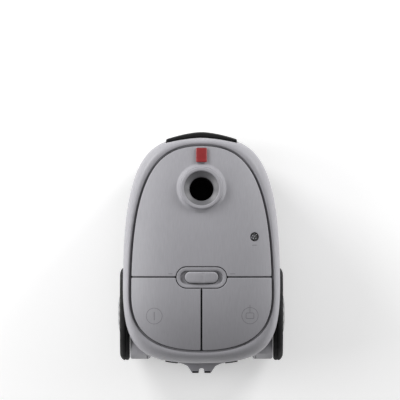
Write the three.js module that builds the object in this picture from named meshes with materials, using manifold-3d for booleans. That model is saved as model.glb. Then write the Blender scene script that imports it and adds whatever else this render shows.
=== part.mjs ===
// A canister vacuum cleaner for dust bags, lying on its two rear wheels and its front caster.
// Millimetres. +Z is up, +Y points to the front (carry handle and hose inlet), +X is the right side.
// The origin is on the floor, under the centre of the machine.
import * as THREE from "three";
import { mergeVertices } from "three/addons/utils/BufferGeometryUtils.js";
import Module from "manifold-3d";

const wasm = await Module();
wasm.setup();

// ---------------------------------------------------------------- driving dimensions
const QUARTER = 12; // points in a quarter of an outline
const WALL = 2.6; // thickness of the moulded shells
const CLEAR = 0.3; // gap between two pieces that touch
const PIN_GAP = 0.1; // gap round a pin in its bore
const CREST = 226; // height of the top surface at its highest line
const CREST_Y = -60; // where that line crosses the machine
const FRONT_DROP = 44; // fall of the top surface from the crest to the front of the groove
const REAR_DROP = 22; // the same to the rear of the groove
const CREST_POWER = 2.2;
const CROWN = 28; // fall from the centre line to the side of the groove
const CROWN_POWER = 2.6;

// Egg-shaped outlines seen from above: two cubic arcs on each side, joined at the widest line.
const GROOVE = {
  front: 187,
  rear: -171.5,
  widestY: -73,
  half: 123.8,
  frontPull: 0.57,
  frontFull: 0.86,
  rearPull: 0.75,
  rearFull: 0.6,
};
const BODY = {
  front: 201.5,
  rear: -192.5,
  widestY: -60,
  half: 136.8,
  frontPull: 0.64,
  frontFull: 0.93,
  rearPull: 0.79,
  rearFull: 0.82,
};
const BAY = {
  front: 163,
  rear: -15,
  widestY: 12,
  half: 108,
  frontPull: 0.56,
  frontFull: 0.78,
  rearPull: 0.86,
  rearFull: 0.75,
};
const GROOVE_HALF = 1.8; // half of the width of the gap round the lid and pedals
const SEAM_Y = -42.3; // the straight gap between lid and pedals
const SEAM_HALF = 1.5;
const PARTING_Z = 74; // where the upper housing meets the base
const LIP = 10; // depth of the rim of the upper housing round the groove
const FLOOR_Z = 16; // underside of the base

const WHEEL = { radius: 81, y: -107, inner: 125, outer: 145 };
const AXLE = { radius: 6, boss: 13, from: 102 };
const WELL_RADIUS = 85;
const WELL_X = 122.4; // outer face of the wall beside each wheel
const CASTER = { y: 128, trail: 13, wheelRadius: 21, width: 22, pocketRadius: 43, pocketTop: 52, post: 5, pin: 2.2 };
const INLET = { y: 110.8, tilt: 9, bore: 20.8, mouth: 30.7, crest: 10, depth: 46 };
const BEZEL = { y: -43.1, halfLength: 43.5, halfWidth: 17.9 };
const KNOB = { halfLength: 29, halfWidth: 9.3, rise: 4 };
const BEZEL_GAP = 1.4; // between the bezel and the lid and pedals round it
// The lid turns about this line: an ear of the deck and an ear of the lid sit side by side on each pin.
const HINGE = { y: -39.4, z: 220, radius: 1.2, deckEar: [47.3, 51.7], lidEar: [52.3, 57.3], pin: [47.5, 57.1] };
const PEDAL_PIVOT = { y: -53, z: 203, radius: 2 };
const HANDLE = { front: 210, half: 62, endY: 193.5, depth: 9, low: 124, high: 154 };
const REAR_COVER = { half: 88, low: 44, high: 126 };
const MOTOR = { x: -52, z: 98, front: -48, fanRadius: 50, fanLength: 40, bodyRadius: 39, bodyLength: 58 };
const REEL = { x: 45, y: -98, z: 98, radius: 56, hub: 26, half: 26, pin: 4, springCase: 11 };
const LEVER = { x: 60, y: -108, z: 172.8, front: 34, rear: 38, pin: 1.5 };
const BAG = { x: 88, y: 74, z: 99, length: 86, height: 40 };
const GLAND = { x: 106, z: 72, radius: 8 };
const LENS = { x: 92, y: 27.5, radius: 8.2 };
const BRACKET = { half: 15.8, slotHalf: 4.3, rear: -210, root: -187, rootHalf: 40, low: 62, high: 102 };
const PAD = { from: 40.6, to: 63, low: 66, high: 78, proud: 2.4 };
const CORNER = { inner: 80, rear: -183, low: 30, high: 120 };

// ---------------------------------------------------------------- materials
const paint = (color, roughness, metalness = 0) =>
  new THREE.MeshStandardMaterial({ color, roughness, metalness });
const greyShell = paint(0x97969b, 0.45);
const darkPlastic = paint(0x2b2b2d, 0.5);
const blackGloss = paint(0x1a1a1b, 0.3);
const blackRubber = paint(0x161616, 0.8);
const redPlastic = paint(0x96282c, 0.4);
const steel = paint(0xb8b8ba, 0.35, 1);
const whitePlastic = paint(0xd8d8d4, 0.55);
const bagFabric = paint(0xe4e0d4, 0.95);
const cardboard = paint(0xb08a5a, 0.9);
const clearPlastic = paint(0x6a6a6e, 0.1);
const boardGreen = paint(0x1f5a38, 0.6);

// ---------------------------------------------------------------- solids
function flipped(index) {
  const out = index.slice();
  for (let i = 0; i < out.length; i += 3) {
    out[i] = index[i + 1];
    out[i + 1] = index[i];
  }
  return out;
}

// A manifold-3d solid from a closed geometry, whichever way its faces point.
function solid(geometry) {
  const bare = new THREE.BufferGeometry();
  bare.setAttribute("position", geometry.getAttribute("position"));
  if (geometry.index) bare.setIndex(geometry.index);
  const merged = mergeVertices(bare, 1e-3);
  const make = (triVerts) =>
    new wasm.Manifold(
      new wasm.Mesh({ numProp: 3, vertProperties: merged.attributes.position.array, triVerts }),
    );
  const triVerts = new Uint32Array(merged.index.array);
  const made = make(triVerts);
  return made.volume() < 0 ? make(flipped(triVerts)) : made;
}

function geometryOf(made) {
  const mesh = made.getMesh();
  const geometry = new THREE.BufferGeometry();
  const position = new Float32Array(mesh.numVert * 3);
  for (let i = 0; i < mesh.numVert; i++)
    position.set(mesh.vertProperties.subarray(i * mesh.numProp, i * mesh.numProp + 3), i * 3);
  geometry.setAttribute("position", new THREE.BufferAttribute(position, 3));
  geometry.setIndex(new THREE.BufferAttribute(new Uint32Array(mesh.triVerts), 1));
  return geometry;
}

// A closed solid through loops of [x, y, z] points: a ring joins the last loop to the first,
// and otherwise each end gets a flat fan.
function loft(loops, ring = false) {
  const n = loops[0].length;
  const position = loops.flat(2);
  const index = [];
  const last = ring ? loops.length : loops.length - 1;
  for (let k = 0; k < last; k++) {
    const a = k * n;
    const b = ((k + 1) % loops.length) * n;
    for (let i = 0; i < n; i++) {
      const j = (i + 1) % n;
      index.push(a + i, a + j, b + j, a + i, b + j, b + i);
    }
  }
  const cap = (k, turn) => {
    const centre = position.length / 3;
    const sum = loops[k].reduce((s, p) => s.map((v, q) => v + p[q] / n), [0, 0, 0]);
    position.push(...sum);
    for (let i = 0; i < n; i++) {
      const pair = [k * n + i, k * n + ((i + 1) % n)];
      index.push(centre, pair[turn], pair[1 - turn]);
    }
  };
  if (!ring) {
    cap(0, 1);
    cap(loops.length - 1, 0);
  }
  const geometry = new THREE.BufferGeometry();
  geometry.setAttribute("position", new THREE.Float32BufferAttribute(position, 3));
  geometry.setIndex(index);
  return solid(geometry);
}

function prism(points, low, high) {
  const shape = new THREE.Shape(points.map(([x, y]) => new THREE.Vector2(x, y)));
  const geometry = new THREE.ExtrudeGeometry(shape, { depth: high - low, bevelEnabled: false });
  return solid(geometry.translate(0, 0, low));
}

function block(x0, x1, y0, y1, z0, z1) {
  const geometry = new THREE.BoxGeometry(x1 - x0, y1 - y0, z1 - z0);
  return solid(geometry.translate((x0 + x1) / 2, (y0 + y1) / 2, (z0 + z1) / 2));
}

// An outline in Y and Z made into a solid between two X planes.
function acrossX(side, x0, x1) {
  const shape = new THREE.Shape(side.map(([y, z]) => new THREE.Vector2(y, z)));
  const geometry = new THREE.ExtrudeGeometry(shape, { depth: x1 - x0, bevelEnabled: false });
  geometry.applyMatrix4(new THREE.Matrix4().makeBasis(v3(0, 1, 0), v3(0, 0, 1), v3(1, 0, 0)));
  return solid(geometry.translate(x0, 0, 0));
}

// A cylinder from one end centre to the other.
function rod(from, to, radius, sides = 20) {
  const a = new THREE.Vector3(...from);
  const b = new THREE.Vector3(...to);
  const geometry = new THREE.CylinderGeometry(radius, radius, a.distanceTo(b), sides);
  const turn = new THREE.Quaternion().setFromUnitVectors(
    new THREE.Vector3(0, 1, 0),
    b.clone().sub(a).normalize(),
  );
  geometry.applyQuaternion(turn);
  const middle = a.add(b).multiplyScalar(0.5);
  return solid(geometry.translate(middle.x, middle.y, middle.z));
}

// A turned solid: profile points are [radius, height along the axis]. It closes on itself unless it starts
// and ends on the axis.
function turned(profile, axis, origin, sides = 40) {
  const points = profile.map(([r, h]) => new THREE.Vector2(r, h));
  const open = profile[0][0] === 0 && profile[profile.length - 1][0] === 0;
  if (!open) points.push(points[0].clone());
  const geometry = new THREE.LatheGeometry(points, sides);
  const turn = new THREE.Quaternion().setFromUnitVectors(
    new THREE.Vector3(0, 1, 0),
    new THREE.Vector3(...axis).normalize(),
  );
  geometry.applyQuaternion(turn);
  return solid(geometry.translate(...origin));
}

const v3 = (x, y, z) => new THREE.Vector3(x, y, z);
const join = (...parts) => parts.reduce((a, b) => a.add(b));
const cut = (from, ...tools) => tools.reduce((a, b) => a.subtract(b), from);
const common = (...parts) => parts.reduce((a, b) => a.intersect(b));

// ---------------------------------------------------------------- outlines and the top surface
function egg(o) {
  const v = (x, y) => new THREE.Vector2(x, y);
  const frontY = o.widestY + o.frontFull * (o.front - o.widestY);
  const rearY = o.widestY + o.rearFull * (o.rear - o.widestY);
  const right = [
    [v(0, o.front), v(o.frontPull * o.half, o.front), v(o.half, frontY), v(o.half, o.widestY)],
    [v(o.half, o.widestY), v(o.half, rearY), v(o.rearPull * o.half, o.rear), v(0, o.rear)],
  ];
  const points = [];
  for (const arc of right) {
    const curve = new THREE.CubicBezierCurve(...arc);
    for (const p of curve.getPoints(QUARTER).slice(0, -1)) points.push([p.x, p.y]);
  }
  const left = points.slice(1).reverse();
  return [...points, [0, o.rear], ...left.map(([x, y]) => [-x, y])];
}

// The outline moved outwards by d, or inwards if d is negative.
function offset(points, d) {
  const n = points.length;
  return points.map(([x, y], i) => {
    const [ax, ay] = points[(i + n - 1) % n];
    const [bx, by] = points[(i + 1) % n];
    const long = Math.hypot(bx - ax, by - ay);
    return [x - (d * (by - ay)) / long, y + (d * (bx - ax)) / long];
  });
}

function stadium(halfLength, halfWidth, y, grow = 0) {
  const centre = halfLength - halfWidth;
  const radius = halfWidth + grow;
  const points = [];
  for (const side of [1, -1])
    for (let i = 0; i <= 10; i++) {
      const a = (Math.PI * i) / 10 - (Math.PI / 2) * side;
      points.push([side * centre + radius * Math.cos(a), y + radius * Math.sin(a)]);
    }
  return points;
}

// Height of the top surface, which the lid, the pedals and the bezel share.
function topAt(x, y) {
  const front = y > CREST_Y;
  const run = front ? GROOVE.front - CREST_Y : CREST_Y - GROOVE.rear;
  const drop = front ? FRONT_DROP : REAR_DROP;
  const along = drop * (Math.abs(y - CREST_Y) / run) ** CREST_POWER;
  return CREST - along - CROWN * (Math.abs(x) / GROOVE.half) ** CROWN_POWER;
}

const bezelPrism = (grow) =>
  prism(stadium(BEZEL.halfLength, BEZEL.halfWidth, BEZEL.y, grow), 100, 300);
const widestAt = (y) => 130 - 0.05 * y;
const grooveLoop = egg(GROOVE);
const bodyLoop = egg(BODY);
const bayLoop = egg(BAY);
const rimLoop = offset(grooveLoop, GROOVE_HALF);
const insetLoop = offset(grooveLoop, -GROOVE_HALF);

const atHeight = (points, z) => points.map(([x, y]) => [x, y, typeof z === "function" ? z(x, y) : z]);

// A loop on the shoulder between the rim (0 degrees) and the widest line (90 degrees).
function shoulder(degrees) {
  const angle = THREE.MathUtils.degToRad(degrees);
  const across = Math.sin(angle);
  const up = Math.max(0, Math.cos(angle)) ** 0.4;
  return rimLoop.map(([x, y], i) => {
    const [bx, by] = bodyLoop[i];
    const low = widestAt(by);
    return [x + (bx - x) * across, y + (by - y) * across, low + (topAt(x, y) - low) * up];
  });
}

// A loop on the inner face of the shoulder: a share of the way from the rim to the widest line, below the rim.
function underShoulder(share, drop) {
  return rimLoop.map(([x, y], i) => {
    const [bx, by] = bodyLoop[i];
    return [x + (bx - x) * share, y + (by - y) * share, topAt(x, y) - drop];
  });
}

// A plate that follows the top surface, between two heights relative to it.
function slab(high, low) {
  const columns = 10;
  const rows = 14;
  const xs = (i) => -132 + (264 * i) / columns;
  const ys = (j) => -180 + (375 * j) / rows;
  const around = [];
  for (let i = 0; i < columns; i++) around.push([i, 0]);
  for (let j = 0; j < rows; j++) around.push([columns, j]);
  for (let i = columns; i > 0; i--) around.push([i, rows]);
  for (let j = rows; j > 0; j--) around.push([0, j]);
  const position = [];
  for (const h of [high, low])
    for (let j = 0; j <= rows; j++)
      for (let i = 0; i <= columns; i++) position.push(xs(i), ys(j), topAt(xs(i), ys(j)) + h);
  const at = (i, j, layer) => layer * (columns + 1) * (rows + 1) + j * (columns + 1) + i;
  const index = [];
  for (let j = 0; j < rows; j++)
    for (let i = 0; i < columns; i++) {
      index.push(at(i, j, 0), at(i + 1, j, 0), at(i + 1, j + 1, 0));
      index.push(at(i, j, 0), at(i + 1, j + 1, 0), at(i, j + 1, 0));
      index.push(at(i, j, 1), at(i + 1, j + 1, 1), at(i + 1, j, 1));
      index.push(at(i, j, 1), at(i, j + 1, 1), at(i + 1, j + 1, 1));
    }
  around.forEach(([i, j], k) => {
    const [p, q] = around[(k + 1) % around.length];
    index.push(at(i, j, 1), at(p, q, 1), at(p, q, 0), at(i, j, 1), at(p, q, 0), at(i, j, 0));
  });
  const geometry = new THREE.BufferGeometry();
  geometry.setAttribute("position", new THREE.Float32BufferAttribute(position, 3));
  geometry.setIndex(index);
  return solid(geometry);
}

// ---------------------------------------------------------------- housings
const mirrorX = (made) => made.mirror([1, 0, 0]);
const axleRod = (side, near, far, radius, sides) =>
  rod([side * near, WHEEL.y, WHEEL.radius], [side * far, WHEEL.y, WHEEL.radius], radius, sides);
const wheelCut = (side) => axleRod(side, WELL_X, 170, WELL_RADIUS, 48);
const partingLoop = offset(bodyLoop, -4);

// The inner half of a wheel well: a flat wall and a short arch over the tyre.
function well(side) {
  const at = (x) => [side * x, WHEEL.y, WHEEL.radius];
  const ring = join(
    rod(at(WELL_X - WALL), at(WELL_X), WELL_RADIUS + WALL, 40),
    rod(at(WELL_X), at(136), WELL_RADIUS + WALL, 40),
  );
  return common(ring, block(-140, 140, -186, -15, FLOOR_Z + 1, 170));
}

// A wall round the body, from one distance outside its outline to another.
function bodyWall(from, to) {
  const side = (d) => [
    atHeight(offset(bodyLoop, d), 150),
    atHeight(offset(bodyLoop, d), widestAt(0)),
    atHeight(offset(partingLoop, d), 34),
  ];
  return loft([...side(from), ...side(to).reverse()], true);
}

const windowBox = (grow) =>
  block(
    -REAR_COVER.half - grow,
    REAR_COVER.half + grow,
    -240,
    -150,
    REAR_COVER.low - grow,
    REAR_COVER.high + grow,
  );
const handlePocket = (grow) => block(-50 - grow, 50 + grow, 172 - grow, 240, 104 - grow, 148 + grow);

function upperHousing() {
  const lip = offset(grooveLoop, GROOVE_HALF + WALL);
  const loops = [
    atHeight(rimLoop, (x, y) => topAt(x, y) - LIP),
    shoulder(0),
    shoulder(24),
    shoulder(42),
    shoulder(60),
    shoulder(76),
    bodyLoop.map(([x, y]) => [x, y, widestAt(y)]),
    atHeight(partingLoop, PARTING_Z + CLEAR / 2),
    atHeight(offset(partingLoop, -WALL), PARTING_Z + CLEAR / 2),
    offset(bodyLoop, -WALL).map(([x, y]) => [x, y, widestAt(y)]),
    underShoulder(0.7, 26),
    underShoulder(0.48, 8.5),
    atHeight(lip, (x, y) => topAt(x, y) - 3.4),
    atHeight(lip, (x, y) => topAt(x, y) - LIP),
  ];
  const rearHalf = block(-140, 140, -200, 0, PARTING_Z + CLEAR / 2, 200);
  const wells = common(join(well(1), well(-1)), bodyPlug(-1), rearHalf);
  return cut(
    join(loft(loops, true), wells),
    wheelCut(1),
    wheelCut(-1),
    windowBox(CLEAR),
    handlePocket(2.4),
    ...[1, -1].map((s) => axleRod(s, 90, 124, AXLE.boss + CLEAR, 24)),
  );
}

const casterRod = (low, high, radius, sides) => rod([0, CASTER.y, low], [0, CASTER.y, high], radius, sides);

// The tub under the parting line: bag bay in front, motor and cord reel behind.
function baseHousing() {
  const outer = [
    [-4, PARTING_Z - CLEAR / 2],
    [-7, 44],
    [-11, 27],
    [-17, 19],
    [-25, FLOOR_Z],
  ].map(([d, z]) => atHeight(offset(bodyLoop, d), z));
  const inner = [
    [-4, PARTING_Z - CLEAR / 2],
    [-7, 44],
    [-11, 27],
    [-17, 21.6],
    [-25, FLOOR_Z + WALL],
  ].map(([d, z]) => atHeight(offset(bodyLoop, d - WALL), z));
  const tub = loft([...outer.slice().reverse(), ...inner]);
  const bosses = [1, -1].map((s) => {
    const hub = axleRod(s, 100, WELL_X, AXLE.boss, 24);
    const [from, to] = sideOf(s, [100, 119.5]);
    return join(hub, block(from, to, WHEEL.y - 3, WHEEL.y + 3, FLOOR_Z + 1, WHEEL.radius - 10));
  });
  const reelPosts = [REEL.x - REEL.half - 7, REEL.x + REEL.half + 15].map((x) =>
    cut(
      block(x - 2, x + 2, REEL.y - 8, REEL.y + 8, FLOOR_Z + 1, REEL.z + 8),
      rod([x - 5, REEL.y, REEL.z], [x + 5, REEL.y, REEL.z], REEL.pin + PIN_GAP, 16),
    ),
  );
  const cradles = [
    [-70, MOTOR.fanRadius],
    [-122, MOTOR.bodyRadius],
  ].map(([y, r]) =>
    cut(
      block(MOTOR.x - 30, MOTOR.x + 30, y - 2, y + 2, FLOOR_Z + 1, 78),
      rod([MOTOR.x, y - 5, MOTOR.z], [MOTOR.x, y + 5, MOTOR.z], r + CLEAR, 36),
    ),
  );
  const pocket = casterRod(FLOOR_Z, CASTER.pocketTop + WALL, CASTER.pocketRadius + WALL, 36);
  const inside = loft([
    atHeight(offset(bodyLoop, -26), FLOOR_Z + 0.5),
    atHeight(offset(bodyLoop, -12), 27),
    atHeight(offset(bodyLoop, -8), 44),
    atHeight(offset(bodyLoop, -5), PARTING_Z - CLEAR / 2),
  ]);
  return cut(
    join(tub, common(join(well(1), well(-1)), inside), ...bosses, pocket, ...reelPosts, ...cradles),
    wheelCut(1),
    wheelCut(-1),
    windowBox(CLEAR),
    casterRod(-1, CASTER.pocketTop, CASTER.pocketRadius, 36),
    casterRod(40, 70, CASTER.post + 0.4, 16),
    ...[1, -1].map((s) => axleRod(s, 90, 130, AXLE.radius + CLEAR, 20)),
    cornerBox(CLEAR),
    mirrorX(cornerBox(CLEAR)),
  );
}

// The square corner behind each wheel, outside the egg of the body.
const cornerBox = (grow) =>
  block(85 - grow, WELL_X + grow, CORNER.rear - grow, -128 + grow, CORNER.low - grow, CORNER.high + grow);

// The side view of the corner, moved inwards, between two X planes.
function cornerBlock(inset, x0, x1) {
  const outline = [
    [CORNER.rear, 34],
    [CORNER.rear, 106],
    [CORNER.rear + 4, 114],
    [CORNER.rear + 12, CORNER.high],
    [-146, CORNER.high],
    [-146, CORNER.low],
    [CORNER.rear + 4, CORNER.low],
  ];
  const inwards = (value, middle) => value + Math.sign(middle - value) * inset;
  return acrossX(
    outline.map(([y, z]) => [inwards(y, -165), inwards(z, 76)]),
    x0,
    x1,
  );
}

function rearCorner() {
  const body = loft([
    atHeight(offset(bodyLoop, -25 + CLEAR), FLOOR_Z),
    atHeight(offset(bodyLoop, -17 + CLEAR), 19),
    atHeight(offset(bodyLoop, -11 + CLEAR), 27),
    atHeight(offset(bodyLoop, -7 + CLEAR), 44),
    atHeight(offset(bodyLoop, -4 + CLEAR), PARTING_Z),
    atHeight(offset(bodyLoop, CLEAR), widestAt(-150)),
    atHeight(offset(bodyLoop, CLEAR), 160),
  ]);
  const hollow = cornerBlock(WALL, CORNER.inner - 10, WELL_X - WALL);
  const sideGap = block(60, REAR_COVER.half + CLEAR * 2, -240, -100, 0, 200);
  return cut(cornerBlock(0, CORNER.inner, WELL_X), hollow, body, sideGap, glandHole());
}

// ---------------------------------------------------------------- rear cover with the parking bracket
function rearCover() {
  const panel = common(bodyWall(0, -WALL), windowBox(-CLEAR));
  const { half, slotHalf, rear, root, rootHalf, low, high } = BRACKET;
  const shape = new THREE.Shape();
  shape.moveTo(-rootHalf, root - 4);
  shape.bezierCurveTo(-24, root - 6, -20, root - 10, -half, rear);
  shape.lineTo(-slotHalf, rear);
  shape.lineTo(-slotHalf, rear + 7);
  shape.lineTo(slotHalf, rear + 7);
  shape.lineTo(slotHalf, rear);
  shape.lineTo(half, rear);
  shape.bezierCurveTo(20, root - 10, 24, root - 6, rootHalf, root - 4);
  shape.lineTo(rootHalf, root);
  shape.lineTo(-rootHalf, root);
  const options = { depth: high - low, bevelEnabled: false, curveSegments: 6 };
  const bracket = solid(new THREE.ExtrudeGeometry(shape, options).translate(0, 0, low));
  const slots = [];
  for (let row = 0; row < 4; row++)
    for (const [from, to] of [
      [46, 80],
      [-80, -46],
    ])
      slots.push(block(from, to, -230, -150, 84 + row * 9, 88.5 + row * 9));
  return cut(join(panel, bracket), ...slots);
}

// Rubber pads that stand a little proud of the rear cover.
function rearPad(side) {
  const strip = block(PAD.from, PAD.to, -240, -150, PAD.low, PAD.high);
  const made = common(bodyWall(PAD.proud, CLEAR), strip);
  return side > 0 ? made : mirrorX(made);
}

// ---------------------------------------------------------------- lid and what is on it
const inletAxis = [
  0,
  Math.sin(THREE.MathUtils.degToRad(INLET.tilt)),
  Math.cos(THREE.MathUtils.degToRad(INLET.tilt)),
];
const inletAt = [0, INLET.y, topAt(0, INLET.y)];
const alongInlet = (h) => inletAt.map((v, i) => v + inletAxis[i] * h);
const latchTop = (y) => topAt(0, y) + 5.5;
const LATCH = { y: 176, z: topAt(0, 176) - 3.2, radius: 1.2 };

// Two distances from the centre plane as ordered X values on one side, 1 or -1.
const sideOf = (s, [near, far]) => (s > 0 ? [near, far] : [-far, -near]);
const latchRod = (half, radius) => rod([-half, LATCH.y, LATCH.z], [half, LATCH.y, LATCH.z], radius, 12);
const hingeRod = (s, near, far, radius) =>
  rod([s * near, HINGE.y, HINGE.z], [s * far, HINGE.y, HINGE.z], radius, 12);

function lidShell() {
  const plate = common(slab(0, -3), prism(insetLoop, 100, 300));
  const rear = block(-150, 150, -200, SEAM_Y + SEAM_HALF, 100, 300);
  const bite = bezelPrism(BEZEL_GAP);
  const nibs = [1, -1].map((s) => rod([s * 45.4, SEAM_Y + 2, 100], [s * 45.4, SEAM_Y + 2, 300], 3.4, 16));
  const flare = [
    [INLET.mouth + CLEAR, -6],
    [INLET.mouth + CLEAR, INLET.crest - 0.6],
    [33, INLET.crest],
    [35.6, INLET.crest - 1.4],
    [38, INLET.crest - 5],
    [44, -0.8],
    [45.4, -6],
  ];
  const boss = turned(flare, inletAxis, inletAt, 36);
  const socket = rod(alongInlet(-40), alongInlet(40), INLET.mouth + CLEAR, 40);
  const latchHole = block(-7.2, 7.2, 169, 182, 150, 200);
  const latchEars = [1, -1].map((s) => {
    const [from, to] = sideOf(s, [7.2, 9.6]);
    return block(from, to, LATCH.y - 3, LATCH.y + 3, LATCH.z - 2.6, LATCH.z + 1.4);
  });
  const window = rod(...lensAxis(-20, 20), LENS.radius + CLEAR, 20);
  const knuckles = [1, -1].map((s) => hingeRod(s, 47, 52, 2.9));
  const ears = [1, -1].map((s) => {
    const [from, to] = sideOf(s, HINGE.lidEar);
    const web = block(from, to, HINGE.y, HINGE.y + 9, HINGE.z - 2, HINGE.z + 1);
    return join(hingeRod(s, ...HINGE.lidEar, 2.2), web);
  });
  const bores = [1, -1].map((s) => hingeRod(s, 48, 60, HINGE.radius + PIN_GAP));
  const shell = cut(plate, rear, bite, ...nibs, ...knuckles, latchHole, window);
  const latchBore = latchRod(9.7, LATCH.radius + PIN_GAP);
  return cut(join(shell, boss, ...latchEars, ...ears), socket, latchBore, ...bores);
}

function inletCone() {
  return turned(
    [
      [INLET.bore + 2.6, -6],
      [INLET.mouth, -6],
      [INLET.mouth, INLET.crest - 1.2],
      [INLET.mouth - 1.6, INLET.crest - 1.2],
      [INLET.bore, 0.6],
      [INLET.bore, -3],
      [INLET.bore + 2.6, -3],
    ],
    inletAxis,
    inletAt,
    36,
  );
}

function inletTube() {
  return turned(
    [
      [INLET.bore, -3 - CLEAR],
      [INLET.bore, -INLET.depth],
      [INLET.bore + 2.3, -INLET.depth],
      [INLET.bore + 2.3, -3 - CLEAR],
    ],
    inletAxis,
    inletAt,
    36,
  );
}

// The red latch: a paddle over the front edge of the lid with a leg that reaches down to its pivot.
function lidLatch() {
  const side = [
    [182.4, topAt(0, 182.4) + 1.6],
    [182.4, latchTop(182.4) - 1.4],
    [180.6, latchTop(180.6)],
    [159.6, latchTop(159.6) + 1.2],
    [157.2, latchTop(157.2) - 0.4],
    [157.2, topAt(0, 157.2) + 2.6],
    [163, topAt(0, 163) + CLEAR],
    [175, topAt(0, 175) + CLEAR],
  ];
  const paddle = acrossX(side, -9.8, 9.8);
  const leg = block(-6.6, 6.6, LATCH.y - 2.6, LATCH.y + 2.6, LATCH.z - 12, LATCH.z + 6);
  const hook = block(-6.6, 6.6, LATCH.y - 2.6, LATCH.y + 4, LATCH.z - 12, LATCH.z - 9.6);
  return cut(join(paddle, leg, hook), latchRod(20, LATCH.radius + PIN_GAP));
}

function lensAxis(from, to) {
  const e = 0.5;
  const slopeX = (topAt(LENS.x + e, LENS.y) - topAt(LENS.x - e, LENS.y)) / (2 * e);
  const slopeY = (topAt(LENS.x, LENS.y + e) - topAt(LENS.x, LENS.y - e)) / (2 * e);
  const normal = v3(-slopeX, -slopeY, 1).normalize();
  const at = (h) => [LENS.x + normal.x * h, LENS.y + normal.y * h, topAt(LENS.x, LENS.y) + normal.z * h];
  return [at(from), at(to)];
}
const lensNormal = () => {
  const [a, b] = lensAxis(0, 1);
  return b.map((v, i) => v - a[i]);
};

function indicatorCup() {
  return turned(
    [
      [0, -9],
      [LENS.radius, -9],
      [LENS.radius, -0.2],
      [7, -0.2],
      [7, -7.6],
      [0, -7.6],
    ],
    lensNormal(),
    lensAxis(0, 1)[0],
    20,
  );
}

function indicatorLens() {
  const [low, high] = lensAxis(-2, -0.6);
  return rod(low, high, 6.7, 20);
}

function indicatorFlag() {
  const made = block(-5, 0.5, -3.2, 3.2, -6.6, -5.4);
  const turn = new THREE.Matrix4().makeRotationFromQuaternion(
    new THREE.Quaternion().setFromUnitVectors(v3(0, 0, 1), v3(...lensNormal())),
  );
  const geometry = geometryOf(made).applyMatrix4(turn);
  return solid(geometry.translate(...lensAxis(0, 1)[0]));
}

// ---------------------------------------------------------------- pedals
// side is -1 for the power pedal on the left and 1 for the cord rewind pedal on the right.
function pedal(side) {
  const plate = common(slab(0, -3), prism(insetLoop, 100, 300));
  const keep = block(1.4, 150, -200, SEAM_Y - SEAM_HALF, 100, 300);
  const bite = bezelPrism(BEZEL_GAP);
  const { y } = PEDAL_PIVOT;
  const ears = [52, 94].map((x) => block(x - 2, x + 2, y - 4.5, y + 4.5, 198.5, topAt(x, -50) - 1.5));
  const push = rod([60, -140, 180], [60, -140, topAt(60, -140) - 2], 3.2, 12);
  const bore = pivotRod(1, 40, 110, PEDAL_PIVOT.radius + PIN_GAP);
  const made = cut(join(cut(common(plate, keep), bite), ...ears, push), bore);
  return side > 0 ? made : mirrorX(made);
}

const pivotRod = (side, near, far, radius) =>
  rod([side * near, PEDAL_PIVOT.y, PEDAL_PIVOT.z], [side * far, PEDAL_PIVOT.y, PEDAL_PIVOT.z], radius, 14);
const pedalShaft = (side) => pivotRod(side, 46, 99, PEDAL_PIVOT.radius);

// A compression spring standing on the rear deck under the pedal.
function pedalSpring(side) {
  const x = side * 80;
  const y = -112;
  const low = topAt(x, y) - 23.4;
  const high = topAt(x, y) - 6.6;
  class Helix extends THREE.Curve {
    getPoint(t) {
      const a = t * 3.5 * Math.PI * 2;
      return v3(x + 6 * Math.cos(a), y + 6 * Math.sin(a), low + (high - low) * t);
    }
  }
  const section = new THREE.Shape();
  for (let i = 0; i < 5; i++) {
    const a = (Math.PI * i) / 2.5;
    section[i ? "lineTo" : "moveTo"](0.7 * Math.cos(a), 0.7 * Math.sin(a));
  }
  const options = { steps: 36, extrudePath: new Helix(), bevelEnabled: false };
  return solid(new THREE.ExtrudeGeometry(section, options));
}

// ---------------------------------------------------------------- decks, seal and bezel
function bayFrame() {
  const ledge = common(slab(-LIP - 0.6, -LIP - 3.2), prism(offset(grooveLoop, 3.4), 100, 300));
  const rear = block(-150, 150, -200, -37, 100, 300);
  const bezelHole = bezelPrism(CLEAR * 2);
  return cut(ledge, rear, prism(bayLoop, 100, 300), bezelHole, block(-10.2, 10.2, 150, 182.5, 100, 300));
}

function lidSeal() {
  const ring = cut(prism(offset(bayLoop, 6), 100, 300), prism(offset(bayLoop, 2.5), 100, 300));
  return common(slab(-3.5, -LIP - 0.2), ring);
}

function rearDeck() {
  const plate = common(slab(-25.4, -28), prism(offset(grooveLoop, 3), 100, 300));
  const front = block(-150, 150, -38, 250, 100, 300);
  const posts = [];
  for (const s of [1, -1])
    for (const x of [47.7, 98])
      posts.push(
        block(s * x - 1.2, s * x + 1.2, PEDAL_PIVOT.y - 4, PEDAL_PIVOT.y + 4, topAt(x, -50) - 27, 206.5),
      );
  const hinge = [1, -1].map((s) => {
    const [from, to] = sideOf(s, HINGE.deckEar);
    const under = topAt(50, -42) - 26.5;
    const web = block(from, to, HINGE.y - 2, HINGE.y + 1, under, HINGE.z);
    const foot = block(from, to, -46, HINGE.y + 1, under, under + 4.5);
    return join(web, foot, hingeRod(s, ...HINGE.deckEar, 2.2));
  });
  const bores = [1, -1].flatMap((s) => [
    pivotRod(s, 40, 110, PEDAL_PIVOT.radius + PIN_GAP),
    hingeRod(s, 46, 62, HINGE.radius + PIN_GAP),
    rod([s * 60, -140, 100], [s * 60, -140, 300], 6.5, 14),
    axleRod(s, 118, 140, WELL_RADIUS + WALL + CLEAR, 40),
  ]);
  return cut(join(cut(plate, front), ...posts, ...hinge), ...bores);
}

const hingePin = (s) => hingeRod(s, ...HINGE.pin, HINGE.radius);

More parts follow.
